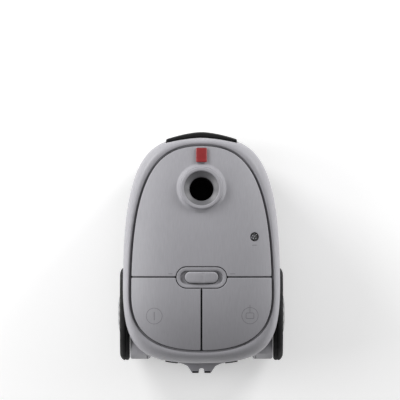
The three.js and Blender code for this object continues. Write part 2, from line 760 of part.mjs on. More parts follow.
function bezel() {
  const ring = (grow, h) =>
    atHeight(stadium(BEZEL.halfLength, BEZEL.halfWidth, BEZEL.y, grow), (x, y) => topAt(x, y) + h);
  const profile = [
    [0, -24.9],
    [0, 0],
    [-2.4, 0],
    [-7.5, -3.6],
    [-14.6, -4.2],
    [-14.6, -6.4],
    [-2.4, -6.4],
    [-2.4, -24.9],
  ];
  return loft(
    profile.map(([grow, h]) => ring(grow, h)),
    true,
  );
}

function knob() {
  const at = (grow, h) =>
    stadium(KNOB.halfLength, KNOB.halfWidth, BEZEL.y, grow).map(([x, y]) => [x, y, topAt(0, BEZEL.y) + h]);
  const cap = loft([at(0, -2.8), at(0, 1.6), at(-1.4, 3.2), at(-4.5, KNOB.rise)]);
  return join(cap, block(-6, 6, BEZEL.y - 2, BEZEL.y + 2, topAt(0, BEZEL.y) - 14, topAt(0, BEZEL.y)));
}

// ---------------------------------------------------------------- handle
function handle() {
  const bow = (front, half, endY) => {
    const curve = new THREE.CubicBezierCurve(
      new THREE.Vector2(-half, endY),
      new THREE.Vector2(-half * 0.6, front),
      new THREE.Vector2(half * 0.6, front),
      new THREE.Vector2(half, endY),
    );
    return curve.getPoints(16).map((p) => [p.x, p.y]);
  };
  const peak = HANDLE.front + (HANDLE.front - HANDLE.endY) / 3;
  const outer = bow(peak, HANDLE.half, HANDLE.endY);
  const inner = bow(peak - HANDLE.depth - 3, HANDLE.half - 3, HANDLE.endY - 6).reverse();
  const bar = prism([...outer, ...inner], HANDLE.low, HANDLE.high);
  return cut(bar, bodyPlug(CLEAR), handleSpace());
}

// The space inside the upper housing, down to the parting line.
function housingInside() {
  const shrink = (loop) => offset(loop, -0.4).map(([x, y], i) => [x, y, loop[i][2]]);
  return loft([
    atHeight(offset(partingLoop, -WALL - 0.4), PARTING_Z),
    offset(bodyLoop, -WALL - 0.4).map(([x, y]) => [x, y, widestAt(y)]),
    shrink(underShoulder(0.7, 26)),
    shrink(underShoulder(0.48, 9)),
  ]);
}

// The closed body of the machine above the parting line, grown by d.
function bodyPlug(d) {
  return loft([
    atHeight(offset(partingLoop, d), PARTING_Z),
    offset(bodyLoop, d).map(([x, y]) => [x, y, widestAt(y)]),
    ...[76, 60, 42, 24, 0].map((a) => {
      const loop = shoulder(a);
      return offset(loop, d).map(([x, y], i) => [x, y, loop[i][2] + d]);
    }),
  ]);
}
const handleSpace = () => block(-49, 49, 150, 199.5, 90, 160);

function handleRecess() {
  const outside = handlePocket(2);
  const shell = cut(outside, handlePocket(0));
  return common(shell, bodyPlug(-0.5));
}

// ---------------------------------------------------------------- wheels
function tyre(side) {
  const { radius, inner } = WHEEL;
  const made = turned(
    [
      [radius - 13, inner],
      [radius - 4, inner],
      [radius - 0.8, inner + 2.2],
      [radius, inner + 5],
      [radius, inner + 9],
      [radius - 1.6, inner + 12.8],
      [radius - 5.2, inner + 15.4],
      [radius - 13, inner + 17.2],
    ],
    [1, 0, 0],
    [0, WHEEL.y, radius],
    44,
  );
  return side > 0 ? made : mirrorX(made);
}

function hub(side) {
  const { radius, inner, outer } = WHEEL;
  const edge = radius - 13 - CLEAR;
  const made = turned(
    [
      [6.3, inner],
      [12, inner],
      [12, inner + 10],
      [edge - 3, inner + 10],
      [edge - 3, inner],
      [edge, inner],
      [edge, inner + 17],
      [edge * 0.6, outer - 1],
      [16, outer],
      [0, outer],
      [0, outer - 2.4],
      [6.3, outer - 2.4],
    ],
    [1, 0, 0],
    [0, WHEEL.y, radius],
    36,
  );
  return side > 0 ? made : mirrorX(made);
}

function axle(side) {
  return axleRod(side, AXLE.from, WHEEL.outer - 4, AXLE.radius, 20);
}

// ---------------------------------------------------------------- caster
const casterAxleY = CASTER.y - CASTER.trail;
const casterAxle = (half, radius) =>
  rod([-half, casterAxleY, CASTER.wheelRadius], [half, casterAxleY, CASTER.wheelRadius], radius, 14);

function casterFork() {
  const plate = casterRod(44.4, 49, 30, 32);
  const arms = [1, -1].map((s) => {
    const side = [
      [CASTER.y + 16, 46],
      [casterAxleY - 12, 46],
      [casterAxleY - 9, 18],
      [casterAxleY, 13],
      [casterAxleY + 9, 17],
    ];
    return acrossX(side, ...sideOf(s, [12, 15]));
  });
  const post = casterRod(47, 62, CASTER.post, 16);
  const bore = casterAxle(20, CASTER.pin + CLEAR);
  return cut(join(plate, ...arms, post), bore);
}

function casterWheel() {
  const r = CASTER.wheelRadius;
  const h = CASTER.width / 2;
  return turned(
    [
      [2.5, -h],
      [r - 3, -h],
      [r - 0.6, -h + 2.4],
      [r, -h + 5],
      [r, h - 5],
      [r - 0.6, h - 2.4],
      [r - 3, h],
      [2.5, h],
    ],
    [1, 0, 0],
    [0, casterAxleY, r],
    32,
  );
}
const casterPin = () => casterAxle(15, CASTER.pin);

// ---------------------------------------------------------------- bag bay
const bagAt = alongInlet(-INLET.depth - 3);
function bagCollar() {
  const plate = new THREE.BoxGeometry(104, 92, 2.4);
  plate.applyQuaternion(new THREE.Quaternion().setFromUnitVectors(v3(0, 0, 1), v3(...inletAxis)));
  const made = solid(plate.translate(...bagAt));
  return cut(made, rod(alongInlet(-80), alongInlet(0), 23, 28));
}

function bagSeal() {
  return turned(
    [
      [19.4, -INLET.depth - 1.5],
      [24, -INLET.depth - 1.5],
      [24, -INLET.depth - 0.5],
      [19.4, -INLET.depth - 0.5],
    ],
    inletAxis,
    inletAt,
    28,
  );
}

// The frame that the collar slides into, with a foot on each side wall of the bay.
function bagHolder() {
  const frame = new THREE.BoxGeometry(116, 104, 3);
  const turn = new THREE.Quaternion().setFromUnitVectors(v3(0, 0, 1), v3(...inletAxis));
  frame.applyQuaternion(turn);
  const arms = new THREE.BoxGeometry(238, 16, 3);
  arms.applyQuaternion(turn);
  const at = alongInlet(-INLET.depth - 6.2);
  const made = join(solid(frame.translate(...at)), common(solid(arms.translate(...at)), housingInside()));
  return cut(made, rod(alongInlet(-90), alongInlet(0), 34, 28));
}

// The dust bag, a soft pillow under the holder.
function dustBag() {
  const loops = [];
  const levels = [-0.98, -0.82, -0.5, 0, 0.5, 0.82, 0.98];
  for (const u of levels) {
    const shrink = (1 - Math.abs(u) ** 2.6) ** (1 / 2.6);
    const loop = [];
    for (let i = 0; i < 28; i++) {
      const a = (Math.PI * 2 * i) / 28;
      const cx = Math.sign(Math.cos(a)) * Math.abs(Math.cos(a)) ** 0.7;
      const cy = Math.sign(Math.sin(a)) * Math.abs(Math.sin(a)) ** 0.7;
      loop.push([BAG.x * shrink * cx, BAG.y + BAG.length * shrink * cy, BAG.z + BAG.height * u]);
    }
    loops.push(loop);
  }
  return join(loft(loops), rod(alongInlet(-INLET.depth - 4.6), alongInlet(-INLET.depth - 26), 24, 28));
}

function bulkhead() {
  const inside = loft([
    atHeight(offset(bodyLoop, -29), FLOOR_Z + WALL + CLEAR),
    atHeight(offset(bodyLoop, -15), 27),
    atHeight(offset(bodyLoop, -11), 44),
    atHeight(offset(bodyLoop, -7.5), PARTING_Z),
    atHeight(offset(bodyLoop, -4), widestAt(0)),
    atHeight(offset(bodyLoop, -4), 150),
    atHeight(offset(bodyLoop, -14), 220),
  ]);
  const wall = common(inside, slab(-LIP - 3.6, -200), block(-117, 117, -35.5, -32.5, 0, 230));
  const bezelNotch = block(-45, 45, -40, -30, 198.5, 240);
  return cut(wall, bezelNotch, rod([MOTOR.x, -60, MOTOR.z], [MOTOR.x, 0, MOTOR.z], 34, 32));
}

function motorFilter() {
  const frame = block(MOTOR.x - 48, MOTOR.x + 48, -32, -24, MOTOR.z - 44, MOTOR.z + 44);
  const slots = [];
  for (let i = -4; i <= 4; i++)
    slots.push(block(MOTOR.x - 40, MOTOR.x + 40, -28, -20, MOTOR.z + i * 9 - 2.6, MOTOR.z + i * 9 + 2.6));
  return cut(frame, ...slots);
}

// ---------------------------------------------------------------- motor, along Y
const motorAt = [MOTOR.x, 0, MOTOR.z];
const fanRear = MOTOR.front - MOTOR.fanLength;
const motorRear = fanRear - MOTOR.bodyLength;
function fanCover() {
  const f = MOTOR.front;
  const r = MOTOR.fanRadius;
  return turned(
    [
      [24, f],
      [r - 4, f],
      [r, f - 4],
      [r, fanRear],
      [r - 1.6, fanRear],
      [r - 1.6, f - 5],
      [r - 5, f - 1.6],
      [24, f - 1.6],
    ],
    [0, 1, 0],
    motorAt,
    36,
  );
}

function motorFrame() {
  const r = MOTOR.bodyRadius;
  return turned(
    [
      [7, fanRear + 6],
      [MOTOR.fanRadius - 2.2, fanRear + 6],
      [MOTOR.fanRadius - 2.2, fanRear + 3],
      [r, fanRear + 3],
      [r, motorRear + 8],
      [r - 12, motorRear],
      [7, motorRear],
      [7, motorRear + 2.4],
      [r - 14, motorRear + 2.4],
      [r - 3, motorRear + 10],
      [r - 3, fanRear + 1],
      [7, fanRear + 1],
    ],
    [0, 1, 0],
    motorAt,
    32,
  );
}

function impeller() {
  return turned(
    [
      [6.4, fanRear + 9],
      [MOTOR.fanRadius - 6, fanRear + 9],
      [MOTOR.fanRadius - 6, fanRear + 11],
      [26, fanRear + 20],
      [24, MOTOR.front - 5],
      [20, MOTOR.front - 5],
      [12, fanRear + 13],
      [6.4, fanRear + 13],
    ],
    [0, 1, 0],
    motorAt,
    32,
  );
}

function rotor() {
  return turned(
    [
      [0, motorRear - 3],
      [6, motorRear - 3],
      [6, motorRear + 12],
      [24, motorRear + 14],
      [24, fanRear - 6],
      [6, fanRear - 4],
      [6, fanRear + 15],
      [0, fanRear + 16],
    ],
    [0, 1, 0],
    motorAt,
    24,
  );
}

const rubberRing = (inner, outer, a, b) =>
  turned(
    [
      [inner, a],
      [outer, a],
      [outer, b],
      [inner, b],
    ],
    [0, 1, 0],
    motorAt,
    28,
  );

// ---------------------------------------------------------------- cord reel, across X
const reelAt = [REEL.x, REEL.y, REEL.z];
function reelDrum() {
  const { radius, hub: core, half, pin } = REEL;
  return turned(
    [
      [pin + 0.4, -half],
      [radius, -half],
      [radius, -half + 2],
      [core, -half + 2],
      [core, half - 2],
      [radius, half - 2],
      [radius, half],
      [pin + 0.4, half],
    ],
    [1, 0, 0],
    reelAt,
    36,
  );
}

function springCase() {
  const out = REEL.half + 1;
  return turned(
    [
      [REEL.pin + 0.4, out],
      [40, out],
      [40, out + REEL.springCase],
      [REEL.pin + 0.4, out + REEL.springCase],
    ],
    [1, 0, 0],
    reelAt,
    28,
  );
}

const reelPin = () =>
  rod([REEL.x - REEL.half - 8, REEL.y, REEL.z], [REEL.x + REEL.half + 14, REEL.y, REEL.z], REEL.pin, 16);

// The lever that brakes the drum: its rear arm lies under the pushrod of the rewind pedal.
function brakeLever() {
  const { x, y, z } = LEVER;
  const bar = block(x - 4, x + 4, y - LEVER.rear, y + LEVER.front, z - 2, z + 2);
  const drop = block(x - 3, x + 3, y + LEVER.front - 6, y + LEVER.front, 153, z);
  const eye = rod([x - 4, y, z], [x + 4, y, z], 5, 16);
  return cut(join(bar, drop, eye), rod([x - 9, y, z], [x + 9, y, z], LEVER.pin + PIN_GAP, 12));
}
const leverPin = () =>
  rod([LEVER.x - 8, LEVER.y, LEVER.z], [LEVER.x + 8, LEVER.y, LEVER.z], LEVER.pin, 12);

const glandHole = () =>
  rod([GLAND.x, -200, GLAND.z], [GLAND.x, -170, GLAND.z], GLAND.radius + CLEAR, 20);
function cordGland() {
  return turned(
    [
      [4.4, -182.4],
      [5.6, -182.8],
      [7.7, -182.8],
      [7.7, -179.9],
      [10, -179.9],
      [10, -177],
      [4.4, -177],
    ],
    [0, 1, 0],
    [GLAND.x, 0, GLAND.z],
    20,
  );
}

const controlBoard = () => block(-26, 26, -57, -30, 203.4, 205);
const speedPot = () =>
  cut(block(-22, 22, BEZEL.y - 6, BEZEL.y + 6, 205.3, 216), block(-15, 15, BEZEL.y - 3, BEZEL.y + 3, 209, 218));
const powerSwitch = () => join(block(-72, -48, -148, -132, 150, 168), block(-64, -56, -143, -137, 167, 174.8));
const exhaustFilter = () => {
  const frame = block(-72, 72, -173, -160, 52, 118);
  const pleats = [];
  for (let i = -6; i <= 6; i++) pleats.push(block(i * 10 - 2.5, i * 10 + 2.5, -180, -164, 57, 113));
  return cut(frame, ...pleats);
};

// ---------------------------------------------------------------- assembly
const cleaner = new THREE.Group();
function add(name, made, material) {
  const mesh = new THREE.Mesh(geometryOf(made), material);
  mesh.name = name;
  cleaner.add(mesh);
}

add("upper_housing", upperHousing(), greyShell);
add("base_housing", baseHousing(), darkPlastic);
add("rear_corner_right", rearCorner(), greyShell);
add("rear_corner_left", mirrorX(rearCorner()), greyShell);
add("exhaust_cover", rearCover(), greyShell);
add("rear_pad_right", rearPad(1), blackRubber);
add("rear_pad_left", rearPad(-1), blackRubber);
add("exhaust_filter", exhaustFilter(), whitePlastic);
add("carry_handle", handle(), darkPlastic);
add("handle_recess", handleRecess(), darkPlastic);
add("lid", lidShell(), greyShell);
add("inlet_cone", inletCone(), greyShell);
add("inlet_tube", inletTube(), darkPlastic);
add("lid_latch", lidLatch(), redPlastic);
add("latch_pin", latchRod(9.4, LATCH.radius), steel);
add("indicator_cup", indicatorCup(), darkPlastic);
add("indicator_lens", indicatorLens(), clearPlastic);
add("indicator_flag", indicatorFlag(), whitePlastic);
add("hinge_pin_right", hingePin(1), steel);
add("hinge_pin_left", hingePin(-1), steel);
add("bay_frame", bayFrame(), darkPlastic);
add("lid_seal", lidSeal(), blackRubber);
add("rear_deck", rearDeck(), darkPlastic);
add("bezel", bezel(), greyShell);
add("speed_knob", knob(), greyShell);
add("speed_pot", speedPot(), darkPlastic);
add("control_board", controlBoard(), boardGreen);
for (const [side, word, use] of [
  [-1, "left", "power_pedal"],
  [1, "right", "rewind_pedal"],
]) {
  add(use, pedal(side), greyShell);
  add("pedal_shaft_" + word, pedalShaft(side), steel);
  add("pedal_spring_" + word, pedalSpring(side), steel);
  add("tyre_" + word, tyre(side), blackRubber);
  add("hub_" + word, hub(side), blackGloss);
  add("axle_" + word, axle(side), steel);
}
add("power_switch", powerSwitch(), darkPlastic);
add("caster_fork", casterFork(), darkPlastic);
add("caster_wheel", casterWheel(), blackRubber);
add("caster_pin", casterPin(), steel);
add("bag_collar", bagCollar(), cardboard);
add("bag_seal", bagSeal(), blackRubber);
add("bag_holder", bagHolder(), darkPlastic);
add("dust_bag", dustBag(), bagFabric);
add("bulkhead", bulkhead(), darkPlastic);
add("motor_filter", motorFilter(), whitePlastic);
add("fan_cover", fanCover(), steel);
add("motor_frame", motorFrame(), darkPlastic);
add("impeller", impeller(), steel);
add("rotor", rotor(), steel);
add("motor_seal", rubberRing(25, 44, -36, MOTOR.front + CLEAR), blackRubber);
add("reel_drum", reelDrum(), whitePlastic);
add("reel_spring_case", springCase(), darkPlastic);
add("reel_pin", reelPin(), steel);
add("brake_lever", brakeLever(), whitePlastic);
add("lever_pin", leverPin(), steel);
add("cord_gland", cordGland(), blackRubber);

export default cleaner;
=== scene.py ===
"""Looks of the canister vacuum cleaner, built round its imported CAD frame.

Shapes are worked out in millimetres, in the frame's own axes: +X right, +Y front, +Z up. add() turns
them into metres.
"""

from math import asin, cos, degrees, pi, radians, sin, tan

import bmesh
import bpy
import numpy as np
from mathutils import Matrix, Vector
from mathutils.geometry import delaunay_2d_cdt


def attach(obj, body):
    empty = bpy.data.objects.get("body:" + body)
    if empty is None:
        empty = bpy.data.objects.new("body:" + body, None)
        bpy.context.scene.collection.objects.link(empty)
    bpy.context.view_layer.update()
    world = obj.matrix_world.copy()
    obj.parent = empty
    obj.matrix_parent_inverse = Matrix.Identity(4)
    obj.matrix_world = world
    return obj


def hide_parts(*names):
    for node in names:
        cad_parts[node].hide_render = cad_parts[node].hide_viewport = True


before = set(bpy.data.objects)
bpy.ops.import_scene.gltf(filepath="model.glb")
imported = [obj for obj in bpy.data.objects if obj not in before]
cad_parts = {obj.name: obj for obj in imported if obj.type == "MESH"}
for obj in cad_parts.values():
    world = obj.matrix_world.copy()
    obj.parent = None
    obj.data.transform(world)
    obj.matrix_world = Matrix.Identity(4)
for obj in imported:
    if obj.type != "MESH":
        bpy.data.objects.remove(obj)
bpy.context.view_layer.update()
MM = 0.001

# ---------------------------------------------------------------- driving dimensions
CREST, CREST_Y = 226.0, -60.0
FRONT_DROP, REAR_DROP, CREST_POWER = 44.0, 22.0, 2.2
CROWN, CROWN_POWER = 28.0, 2.6
GROOVE = dict(front=187, rear=-171.5, widest=-73, half=123.8, front_pull=0.57, front_full=0.86,
              rear_pull=0.75, rear_full=0.6)
BODY = dict(front=201.5, rear=-192.5, widest=-60, half=136.8, front_pull=0.64, front_full=0.93,
            rear_pull=0.79, rear_full=0.82)
BAY = dict(front=163, rear=-15, widest=12, half=108, front_pull=0.56, front_full=0.78,
           rear_pull=0.86, rear_full=0.75)
GROOVE_HALF = 1.8
SEAM_Y = -42.3
WALL = 2.6
WHEEL_R, WHEEL_Y = 81.0, -107.0
WELL_R, WELL_X = 85.0, 122.4
CASTER_Y, CASTER_TRAIL, CASTER_R = 128.0, 13.0, 21.0
INLET_Y, INLET_TILT, INLET_CREST = 110.8, radians(9), 10.0
BORE_R, MOUTH_R = 20.8, 30.7
BEZEL_Y, BEZEL_LONG, BEZEL_WIDE = -43.1, 43.5, 17.9
LENS_X, LENS_Y = 92.0, 27.5


# ---------------------------------------------------------------- outlines
def egg(o, per_quarter=64):
    """The closed outline of two cubic arcs on each side, clockwise from the front seen from above."""
    def arc(a, b, c, d):
        t = np.linspace(0, 1, per_quarter + 1)[:-1, None]
        a, b, c, d = map(np.array, (a, b, c, d))
        return (1 - t) ** 3 * a + 3 * (1 - t) ** 2 * t * b + 3 * (1 - t) * t**2 * c + t**3 * d

    h, w = o["half"], o["widest"]
    front_y = w + o["front_full"] * (o["front"] - w)
    rear_y = w + o["rear_full"] * (o["rear"] - w)
    first = arc((0, o["front"]), (o["front_pull"] * h, o["front"]), (h, front_y), (h, w))
    second = arc((h, w), (h, rear_y), (o["rear_pull"] * h, o["rear"]), (0, o["rear"]))
    right = np.vstack([first, second])
    left = right[1:][::-1] * (-1, 1)
    return np.vstack([right, [[0, o["rear"]]], left]).astype(float)


def moved(points, d):
    """A clockwise outline moved outwards by d."""
    step = np.roll(points, -1, 0) - np.roll(points, 1, 0)
    step /= np.linalg.norm(step, axis=1)[:, None]
    return points + d * np.stack([-step[:, 1], step[:, 0]], 1)


def stadium(long, wide, y, grow=0.0, count=24):
    """A clockwise outline with two straight sides along X and round ends."""
    out = []
    for side in (1, -1):
        flat, r = side * (long - wide), wide + grow
        for a in np.linspace(pi / 2, -pi / 2, count + 1):
            out.append((flat + side * r * cos(a), y + side * r * sin(a)))
        out += [(x, y - side * r) for x in np.linspace(flat, -flat, count)[1:-1]]
    return np.array(out)


def ring(x, y, radius, count=48):
    a = -np.arange(count) * 2 * pi / count
    return np.stack([x + radius * np.cos(a), y + radius * np.sin(a)], 1)


def resampled(points, step):
    """The closed outline with points about step apart."""
    closed = np.vstack([points, points[:1]])
    run = np.concatenate([[0], np.cumsum(np.linalg.norm(np.diff(closed, axis=0), axis=1))])
    at = np.linspace(0, run[-1], max(12, int(run[-1] / step)) + 1)[:-1]
    return np.stack([np.interp(at, run, closed[:, k]) for k in (0, 1)], 1)


def softened(points, corners, reach):
    """The closed outline with each corner near a given place turned into a round of about reach."""
    points = resampled(points, 0.25)
    for corner in corners:
        near = np.argmin(np.linalg.norm(points - corner, axis=1))
        points = np.roll(points, -near, 0)
        k = int(reach / 0.25)
        a, b, tip = points[-k], points[k], points[0]
        t = np.linspace(0, 1, 2 * k)[:, None]
        bend = (1 - t) ** 2 * a + 2 * (1 - t) * t * tip + t**2 * b
        points = np.vstack([bend, points[k + 1 : -k]])
    return points


def filleted(profile, radius, steps=4, closed=True):
    """A profile whose corners are rounded by radius, or by as much as their sides allow."""
    p = np.array(profile, float)
    out = []
    for i in range(len(p)):
        if not closed and i in (0, len(p) - 1):
            out.append(p[i])
            continue
        a, b, c = p[i - 1], p[i], p[(i + 1) % len(p)]
        la, lc = np.linalg.norm(a - b), np.linalg.norm(c - b)
        reach = min(radius, 0.45 * la, 0.45 * lc)
        start, end = b + (a - b) / la * reach, b + (c - b) / lc * reach
        for t in np.linspace(0, 1, steps + 1):
            out.append((1 - t) ** 2 * start + 2 * (1 - t) * t * b + t**2 * end)
    return np.array(out)


# ---------------------------------------------------------------- the top surface
def top_at(x, y):
    x, y = np.asarray(x, float), np.asarray(y, float)
    front = y > CREST_Y
    run = np.where(front, GROOVE["front"] - CREST_Y, CREST_Y - GROOVE["rear"])
    drop = np.where(front, FRONT_DROP, REAR_DROP)
    along = drop * (np.abs(y - CREST_Y) / run) ** CREST_POWER
    return CREST - along - CROWN * (np.abs(x) / GROOVE["half"]) ** CROWN_POWER


def widest_at(y):
    return 130 - 0.05 * np.asarray(y, float)


INLET_AXIS = Vector((0, sin(INLET_TILT), cos(INLET_TILT)))
INLET_AT = Vector((0, INLET_Y, float(top_at(0, INLET_Y))))


def smooth(t):
    t = np.clip(t, 0, 1)
    return t * t * (3 - 2 * t)


def lid_at(x, y):
    """The top surface with the flare that rises to the mouth of the hose inlet."""
    x, y = np.asarray(x, float), np.asarray(y, float)
    ground = top_at(x, y)
    centre = INLET_AT + INLET_AXIS * INLET_CREST
    plane = centre.z - (y - centre.y) * tan(INLET_TILT)
    away = np.hypot(x, y - centre.y)
    rise = smooth((43.5 - away) / 6.6)
    under_trim = 1.2 * smooth((36.5 - away) / 2.5)
    return ground + (plane - ground - 6.0) * rise - under_trim


# ---------------------------------------------------------------- making pieces
def add(name, verts, faces, material, body, slot, sharp=32):
    mesh = bpy.data.meshes.new(name)
    mesh.from_pydata((np.array(verts, float) * MM).tolist(), [], [list(f) for f in faces])
    mesh.update()
    made = bpy.data.objects.new(name, mesh)
    bpy.context.collection.objects.link(made)
    made.data.materials.append(material)
    shade(made, sharp)
    return finish_piece(made, body, slot)


def shade(piece, sharp):
    piece.data.shade_smooth()
    piece.data.set_sharp_from_angle(angle=radians(sharp))


def finish_piece(piece, body, slot, stands_for=()):
    if body is None:
        return piece
    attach(piece, body)
    if stands_for:
        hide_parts(*stands_for)
    return piece


def settle(piece, sharp=32):
    """Applies the piece's modifiers."""
    graph = bpy.context.evaluated_depsgraph_get()
    graph.update()
    mesh = bpy.data.meshes.new_from_object(piece.evaluated_get(graph))
    piece.modifiers.clear()
    old, piece.data = piece.data, mesh
    bpy.data.meshes.remove(old)
    shade(piece, sharp)
    return piece


def carved(piece, cutters, how="DIFFERENCE", sharp=32):
    """The piece with the cutters taken out of it, or joined to it. The cutters are used up."""
    for cutter in cutters:
        step = piece.modifiers.new("cut", "BOOLEAN")
        step.operation = how
        step.solver = "EXACT"
        step.object = cutter
        settle(piece, sharp)
        bpy.data.objects.remove(cutter)
    return piece


def loft_faces(count, levels, closed):
    faces = []
    for k in range(levels if closed else levels - 1):
        a, b = k * count, ((k + 1) % levels) * count
        for i in range(count):
            j = (i + 1) % count
            faces.append((a + i, a + j, b + j, b + i))
    return faces


def loft(name, loops, material, body, slot, stands_for=(), closed=True, sharp=32, caps=True):
    loops = [np.asarray(loop, float) for loop in loops]
    count, levels = len(loops[0]), len(loops)
    faces = loft_faces(count, levels, closed)
    if not closed and caps:
        faces.append(tuple(range(count))[::-1])
        faces.append(tuple(range((levels - 1) * count, levels * count)))
    verts = np.vstack(loops)
    made = add(name, verts, faces, material, None, slot, sharp=sharp)
    outward(made)
    return finish_piece(made, body, slot, stands_for)


def outward(piece):
    """Turns every face of a closed mesh outwards."""
    grown = bmesh.new()
    grown.from_mesh(piece.data)
    bmesh.ops.recalc_face_normals(grown, faces=grown.faces)
    grown.to_mesh(piece.data)
    grown.free()


def level(points, z):
    """Outline points with a height: a number, an array or a function of x and y."""
    if callable(z):
        z = z(points[:, 0], points[:, 1])
    return np.column_stack([points, np.broadcast_to(z, len(points))])


def turn_to(axis):
    return Vector((0, 0, 1)).rotation_difference(Vector(axis)).to_matrix()


def lathe(name, profile, origin, axis, material, body, slot, stands_for=(), steps=72, sharp=32,
          wave=None):
    """A turned piece: profile points are (radius, height along the axis) round a closed section."""
    profile = np.asarray(profile, float)
    turn = np.array(turn_to(axis))
    angle = np.arange(steps) * 2 * pi / steps
    verts = []
    for r, h in profile:
        rise = h if wave is None else h + wave(r, h, angle)
        local = np.stack([r * np.cos(angle), r * np.sin(angle), np.broadcast_to(rise, steps)], 1)
        verts.append(local @ turn.T + np.array(origin, float))
    on_axis = profile[0][0] < 1e-6 and profile[-1][0] < 1e-6
    made = loft(name, verts, material, None, slot, closed=not on_axis, sharp=sharp, caps=False)
    weld(made)
    outward(made)
    shade(made, sharp)
    return finish_piece(made, body, slot, stands_for)


def weld(piece):
    grown = bmesh.new()
    grown.from_mesh(piece.data)
    bmesh.ops.remove_doubles(grown, verts=grown.verts, dist=1e-6)
    grown.to_mesh(piece.data)
    grown.free()


def prism(name, outline, low, high, material, body, slot, edge=0.0, matrix=None):
    """An outline pushed up from low to high, with rounded rims of the given edge radius."""
    outline = np.asarray(outline, float)
    if edge:
        a = np.linspace(0, pi / 2, 5)
        rim = [(edge * (1 - cos(t)), edge * (1 - sin(t))) for t in a]
        loops = [level(moved(outline, -d), low + h) for d, h in reversed(rim)]
        loops += [level(moved(outline, -d), high - h) for d, h in rim]
    else:
        loops = [level(outline, low), level(outline, high)]
    if matrix is not None:
        turn = np.array(matrix)
        loops = [loop @ turn.T for loop in loops]
    return loft(name, loops, material, body, slot, closed=False)


def block(name, low, high, material, body, slot, stands_for=(), edge=0.8):
    """A box with rounded edges."""
    (x0, y0, z0), (x1, y1, z1) = low, high
    verts = [(x, y, z) for x in (x0, x1) for y in (y0, y1) for z in (z0, z1)]
    faces = [(0, 1, 3, 2), (4, 6, 7, 5), (0, 4, 5, 1), (2, 3, 7, 6), (0, 2, 6, 4), (1, 5, 7, 3)]
    made = add(name, verts, faces, material, None, slot)
    if edge:
        round_edges(made, edge)
    return finish_piece(made, body, slot, stands_for)


def round_edges(piece, edge):
    step = piece.modifiers.new("round", "BEVEL")
    step.width = edge * MM
    step.segments = 3
    step.limit_method = "ANGLE"
    step.angle_limit = radians(30)
    step.use_clamp_overlap = True
    return settle(piece, 40)


def rod(name, start, end, radius, material, body, slot, stands_for=(), edge=0.4, steps=32):
    start, end = Vector(start), Vector(end)
    long = (end - start).length
    profile = filleted([(0, 0), (radius, 0), (radius, long), (0, long)], edge, closed=False)
    return lathe(name, profile, start, (end - start).normalized(), material, body, slot,
                 stands_for, steps=steps)


def cutting_block(low, high):
    return block("cutter", low, high, black, None, "", edge=0)


def cutting_rod(start, end, radius, steps):
    return rod("cutter", start, end, radius, black, None, "", edge=0, steps=steps)


def sides_of(points, outline):
    """True for each point inside the closed outline."""
    x, y = points[:, 0], points[:, 1]
    inside = np.zeros(len(points), bool)
    for (ax, ay), (bx, by) in zip(outline, np.roll(outline, -1, 0)):
        if ay == by:
            continue
        crosses = (ay > y) != (by > y)
        inside ^= crosses & (x < (bx - ax) * (y - ay) / (by - ay) + ax)
    return inside


def clear_of(points, edge, gap):
    """True for each point farther than gap from every point of the edge."""
    keep = np.ones(len(points), bool)
    for k in range(0, len(points), 2000):
        part = points[k : k + 2000]
        far = np.min(np.sum((part[:, None] - edge[None]) ** 2, 2), 1)
        keep[k : k + 2000] = far > gap * gap
    return keep


def filled(outer, holes, spacing, extra=None):
    """Triangles that fill the outline round the holes: points, triangles and where each edge point went."""
    loops = [outer, *holes]
    edge_points = np.vstack(loops)
    low, high = outer.min(0), outer.max(0)
    xs = np.arange(low[0], high[0], spacing)
    ys = np.arange(low[1], high[1], spacing * 0.866)
    grid = np.array([(x + (j % 2) * spacing / 2, y) for j, y in enumerate(ys) for x in xs])
    if extra is not None:
        middle, reach, dense = extra
        grid = grid[np.hypot(*(grid - middle).T) > reach]
        grid = np.vstack([grid, dense])
    keep = sides_of(grid, outer)
    for hole in holes:
        keep &= ~sides_of(grid, hole)
    grid = grid[keep]
    grid = grid[clear_of(grid, edge_points, 0.7 * min(spacing, 1.6))]
    edges, start = [], 0
    for loop in loops:
        n = len(loop)
        edges += [(start + i, start + (i + 1) % n) for i in range(n)]
        start += n
    points = np.vstack([edge_points, grid])
    made = delaunay_2d_cdt([Vector(p) for p in points], edges, [], 0, 1e-5, True)
    coords = np.array([tuple(v) for v in made[0]])
    faces = np.array([f for f in made[2]])
    middle = coords[faces].mean(1)
    keep = sides_of(middle, outer)
    for hole in holes:
        keep &= ~sides_of(middle, hole)
    back = {}
    for new, old in enumerate(made[3]):
        for k in old:
            back[k] = new
    first = [back[k] for k in range(len(edge_points))]
    return coords, faces[keep], first


